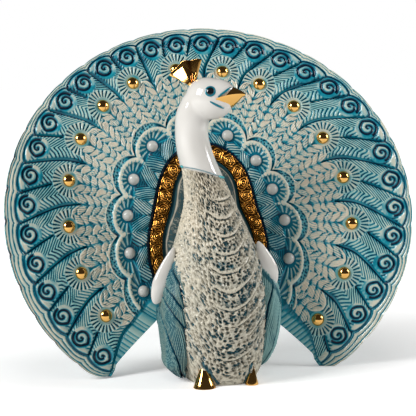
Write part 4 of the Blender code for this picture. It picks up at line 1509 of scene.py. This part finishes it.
def on_head(along, aside, high):
    """The nearest place on the head's skin, and its way out."""
    guess = HEAD_CENTRE + HEAD_LOOK * along + beak_side * aside + Vector((0.0, 0.0, high))
    return neck_skin.closest_point_on_mesh(guess)[1:3]


def eye_part(name, radius, height, bulge, material):
    """A flat dome on each side of the head, set a height above its skin."""
    domes = []
    for aside in (1.0, -1.0):
        place, normal = on_head(0.0030, 0.0083 * aside, 0.0042)
        dome = ball(40, 24)
        slice_active((0, 0, -0.2), (0, 0, 1))
        size = Matrix.Diagonal((radius, radius, bulge, 1.0))
        dome.data.transform(Matrix.Translation(place + normal * height) @ facing(normal) @ size)
        domes.append(dome)
    dress(join_as(name, domes), material)


eye_part("eye_rings", EYE_RADIUS, -0.0001, 0.0006, teal_paint)
eye_part("pupils", PUPIL_RADIUS, 0.0001, 0.0008, pupil_paint)


def painted_line(name, places, radius, material, closed=False):
    """A low rounded stroke of glaze that follows the places given."""
    line = bpy.data.curves.new(name, "CURVE")
    line.dimensions = "3D"
    line.bevel_depth = radius
    line.bevel_resolution = 3
    line.use_fill_caps = True
    for stroke in places:
        spline = line.splines.new("POLY")
        spline.points.add(len(stroke) - 1)
        spline.use_cyclic_u = closed
        for number, place in enumerate(stroke):
            taper = 1.0 if closed else math.sin(math.pi * (0.12 + 0.76 * number / (len(stroke) - 1))) ** 0.6
            spline.points[number].co = (place[0], place[1], place[2], 1.0)
            spline.points[number].radius = taper
    carrier = bpy.data.objects.new(name, line)
    bpy.context.scene.collection.objects.link(carrier)
    pick(carrier)
    bpy.ops.object.convert(target="MESH")
    bpy.ops.object.shade_smooth()
    dress(carrier, material)


# each stroke's start and its run, as distances along, aside and up from the head's centre
BROW_START = Vector((0.0072, 0.0080, 0.0014))
BROW_RUN = Vector((0.0050, -0.0050, 0.0046))
JAW_START = Vector((0.0030, 0.0085, -0.0010))
JAW_RUN = Vector((0.0070, -0.0025, -0.0040))
strokes = []
for side in (1.0, -1.0):
    for start, run in ((BROW_START, BROW_RUN), (JAW_START, JAW_RUN)):
        guesses = [start + run * share for share in np.linspace(0.0, 1.0, 14)]
        strokes.append([on_head(guess.x, side * guess.y, guess.z)[0] for guess in guesses])
painted_line("face_lines", strokes, 0.00062, teal_paint)

# Collar: a fine pooled line where the white glaze of the neck ends, with a touch of turquoise at
# its ends.

grey_paint = paint("grey_blue_underglaze", (0.16, 0.25, 0.28, 1.0), (0.30, 0.38, 0.38, 1.0), 0.2)
turquoise_paint = paint("turquoise_underglaze", (0.02, 0.26, 0.30, 1.0), (0.08, 0.42, 0.44, 1.0), 0.15)


def collar_place(turn):
    """A place on the collar's edge, at a turn about the neck."""
    x, y, z = at_collar(np.array([turn]), 0.0001)
    return float(x[0]), float(y[0]), float(z[0])


round_neck = [collar_place(turn) for turn in np.linspace(0.0, 2 * math.pi, 97)[:-1]]
painted_line("collar_line", [round_neck], 0.00036, grey_paint, closed=True)
ends = []
for low, high in ((math.radians(188.0), math.radians(204.0)), (math.radians(312.0), math.radians(345.0))):
    ends.append([collar_place(turn) for turn in np.linspace(low, high, 12)])
painted_line("collar_ends", ends, 0.00075, turquoise_paint)

# Crest: a puffed gilded fan with three points, its faces hollowed between them, joined to the head
# by one root.

CREST_LENGTH = 0.0150
CREST_THICKNESS = 0.0066
CREST_FRONT = math.radians(-15.0)
CREST_REAR = math.radians(66.0)
CREST_RIDGE = 0.57
crest_root = HEAD_CENTRE - HEAD_LOOK * (HEAD_HALF_LENGTH * 0.64) + Vector((0.0, 0.0, HEAD_HALF_HEIGHT * 0.50))
crest_side = Vector((HEAD_LOOK.y, -HEAD_LOOK.x, 0.0))


def crest(u, v):
    """The crest's fan: v runs from its front edge to its rear edge, u round its thickness."""
    tilt = CREST_FRONT + (CREST_REAR - CREST_FRONT) * v
    beat = np.clip((v - 0.06) / 0.88, 0.0, 1.0) * 2.0
    point = np.abs(2.0 * (beat - np.floor(beat)) - 1.0)
    point = np.sqrt(point**2 + 0.02)
    turn = 2 * math.pi * u
    ends_low = np.sqrt(np.clip(np.minimum(v, 1.0 - v) / 0.06, 0.0, 1.0))
    outer = CREST_LENGTH * (0.935 + 0.065 * point)
    inner = 0.10 * CREST_LENGTH
    along = inner + (outer - inner) * (0.5 - 0.5 * np.cos(turn))
    swell = np.sign(np.sin(turn)) * np.abs(np.sin(turn)) ** 0.22
    # each face falls away from a ridge: flat behind it, and creased with a bead in front of it
    ridge_back = along * math.sin(CREST_FRONT + (CREST_REAR - CREST_FRONT) * CREST_RIDGE)
    back = along * np.sin(tilt)
    fall = np.where(v > CREST_RIDGE, 0.14 * back, 0.14 * ridge_back + 0.34 * (ridge_back - back))
    bead = np.clip(1.0 - ((v - 0.09) / 0.07) ** 2, 0.0, 1.0)
    crease = np.clip(1.0 - ((v - 0.34) / 0.07) ** 2, 0.0, 1.0)
    thick = 0.5 * CREST_THICKNESS - fall - 0.18 * along * np.cos(tilt) + 0.0007 * bead - 0.0005 * crease
    thick = np.maximum(thick, 0.0004) * swell * (0.20 + 0.80 * ends_low)
    thick = thick * (0.6 + 0.4 * ramp(along, 0.0, 0.0035))
    spots = []
    for i in range(3):
        way = (1.0 if i == 2 else 0.0) * np.cos(tilt) - HEAD_LOOK[i] * np.sin(tilt)
        spots.append(crest_root[i] + way * along + crest_side[i] * thick)
    # the crease darkens as the gold does in a hollow, and the crest's front part is darkened as a painted
    # dark reflection
    return spots[0], spots[1], spots[2], {"stain": 0.45 * crease + 0.30 * (1.0 - ramp(v, 0.45, CREST_RIDGE))}


crest_skin = glazed_grid("crest", 56, 110, crest)
close_skin(crest_skin)
dress(crest_skin, bright_gold)

# Feet: one gilded toe shows under each side of the breast, a round lip with a pointed upper face whose dark
# brown is a painted dark reflection.
# The right one stands half hidden in the body, so it is made smaller.

FOOT_WIDTH = 0.0105
FOOT_HEIGHT = 0.0125
FOOT_SPACING = 0.0250
FOOT_LIP = 0.0030
for label, side, share in (("left", -1.0, 1.0), ("right", 1.0, 0.60)):
    radius = share * FOOT_WIDTH / 2
    lip_height = FOOT_LIP - FOOT_HEIGHT / 2
    pick()
    bpy.ops.mesh.primitive_cylinder_add(vertices=36, radius=radius, depth=FOOT_HEIGHT)
    foot = name_piece("foot_" + label)
    for vert in foot.data.vertices:
        if vert.co.z > 0.0:
            vert.co.x *= 0.16
            vert.co.y = 0.20 * vert.co.y + 0.32 * radius
    slice_active((0.0, 0.0, lip_height), (0.0, 0.0, 1.0), drop_below=False)
    for vert in foot.data.vertices:
        if abs(vert.co.z - lip_height) < 0.0001:
            vert.co.x *= 0.98
            vert.co.y *= 1.02
    front = 0.70 * BREAST_DEPTH - 0.4 * (FOOT_WIDTH / 2 - radius)
    place = Matrix.Translation((side * FOOT_SPACING / 2, -front, FOOT_HEIGHT / 2))
    foot.data.transform(place @ Matrix.Diagonal((1.14, 1.0, 1.0, 1.0)))
    bpy.ops.object.modifier_add(type="BEVEL")
    foot.modifiers[-1].width = 0.0004
    foot.modifiers[-1].segments = 3
    bpy.ops.object.modifier_apply(modifier=foot.modifiers[-1].name)
    bpy.ops.object.shade_smooth_by_angle(angle=math.radians(35.0))
    # the upper face is marked dark brown, a painted dark reflection
    painted_dark_reflection = [0.55 if vert.co.z > FOOT_LIP + 0.0008 else 0.0 for vert in foot.data.vertices]
    add_marks(foot.data, {"stain": painted_dark_reflection})
    dress(foot, bright_gold)

# Light and floor: a plain pale sweep that brightens away from the figurine, under soft studio
# light. Glazes mirror a darker, warmer room than the white one that the camera sees.

pick()
bpy.ops.mesh.primitive_plane_add(size=6.0, location=(0.0, 0.0, 0.0))
floor = name_piece("floor")
floor_paint, floor_tree, floor_shader = new_glaze("pale_floor")
floor_shader.inputs["Base Color"].default_value = (0.90, 0.90, 0.90, 1.0)
floor_shader.inputs["Roughness"].default_value = 0.9
floor_shader.inputs["Emission Color"].default_value = (1.0, 1.0, 1.0, 1.0)
floor_place = floor_tree.nodes.new("ShaderNodeTexCoord")
floor_reach = floor_tree.nodes.new("ShaderNodeVectorMath")
floor_reach.operation = "LENGTH"
floor_tree.links.new(floor_place.outputs["Object"], floor_reach.inputs[0])
floor_seen = floor_tree.nodes.new("ShaderNodeLightPath").outputs["Is Camera Ray"]


def rescale(value, low, high, to_low, to_high):
    """A value of the floor's nodes, taken from one range to another."""
    node = floor_tree.nodes.new("ShaderNodeMapRange")
    for socket, limit in (("From Min", low), ("From Max", high), ("To Min", to_low), ("To Max", to_high)):
        node.inputs[socket].default_value = limit
    floor_tree.links.new(value, node.inputs["Value"])
    return node.outputs["Result"]


# the glow grows with the distance from the figurine, in metres, and other rays than the camera's see less
floor_glow = rescale(floor_reach.outputs["Value"], 0.10, 0.38, 0.27, 0.95)
floor_glow = combine(floor_tree, "MULTIPLY", floor_glow, rescale(floor_seen, 0.0, 1.0, 0.38, 1.0))
floor_tree.links.new(floor_glow, floor_shader.inputs["Emission Strength"])
floor.data.materials.append(floor_paint)
bpy.context.scene.view_settings.view_transform = "Standard"

studio = bpy.data.worlds.new("studio")
bpy.context.scene.world = studio
studio.use_nodes = True
studio_tree = studio.node_tree
seen = studio_tree.nodes.new("ShaderNodeLightPath")


def backdrop(colour, strength):
    """A plain room of one colour."""
    node = studio_tree.nodes.new("ShaderNodeBackground")
    node.inputs["Color"].default_value = colour
    node.inputs["Strength"].default_value = strength
    return node.outputs["Background"]


def for_rays(kind, others, these):
    """One room for rays of a kind, and another for the others."""
    node = studio_tree.nodes.new("ShaderNodeMixShader")
    for socket, value in enumerate((seen.outputs[kind], others, these)):
        studio_tree.links.new(value, node.inputs[socket])
    return node.outputs["Shader"]


dim_room = backdrop((1.0, 0.96, 0.90, 1.0), 0.14)
dark_room = backdrop((1.0, 0.93, 0.85, 1.0), 0.05)
white_room = backdrop((1.0, 1.0, 1.0, 1.0), 1.0)
room = for_rays("Is Camera Ray", for_rays("Is Glossy Ray", dim_room, dark_room), white_room)
studio_tree.links.new(room, studio_tree.nodes["World Output"].inputs["Surface"])


def soft_light(name, place, aim, size, power):
    """A soft rectangular light at a place, turned to what it lights."""
    lamp = bpy.data.lights.new(name, "AREA")
    lamp.shape = "RECTANGLE"
    lamp.size = size[0]
    lamp.size_y = size[1]
    lamp.energy = power
    light = bpy.data.objects.new(name, lamp)
    bpy.context.scene.collection.objects.link(light)
    way = Vector(aim) - Vector(place)
    light.matrix_world = Matrix.Translation(place) @ way.to_track_quat("-Z", "Y").to_matrix().to_4x4()


LIT_PLACE = (0.0, 0.0, 0.09)
soft_light("key_light", (-0.80, -0.30, 0.60), LIT_PLACE, (0.30, 0.45), 9.2)
soft_light("side_light", (0.85, -0.20, 0.50), LIT_PLACE, (0.25, 0.45), 4.8)
soft_light("top_light", (-0.10, -0.55, 0.95), LIT_PLACE, (0.60, 0.40), 1.0)
bpy.data.objects["top_light"].visible_glossy = False
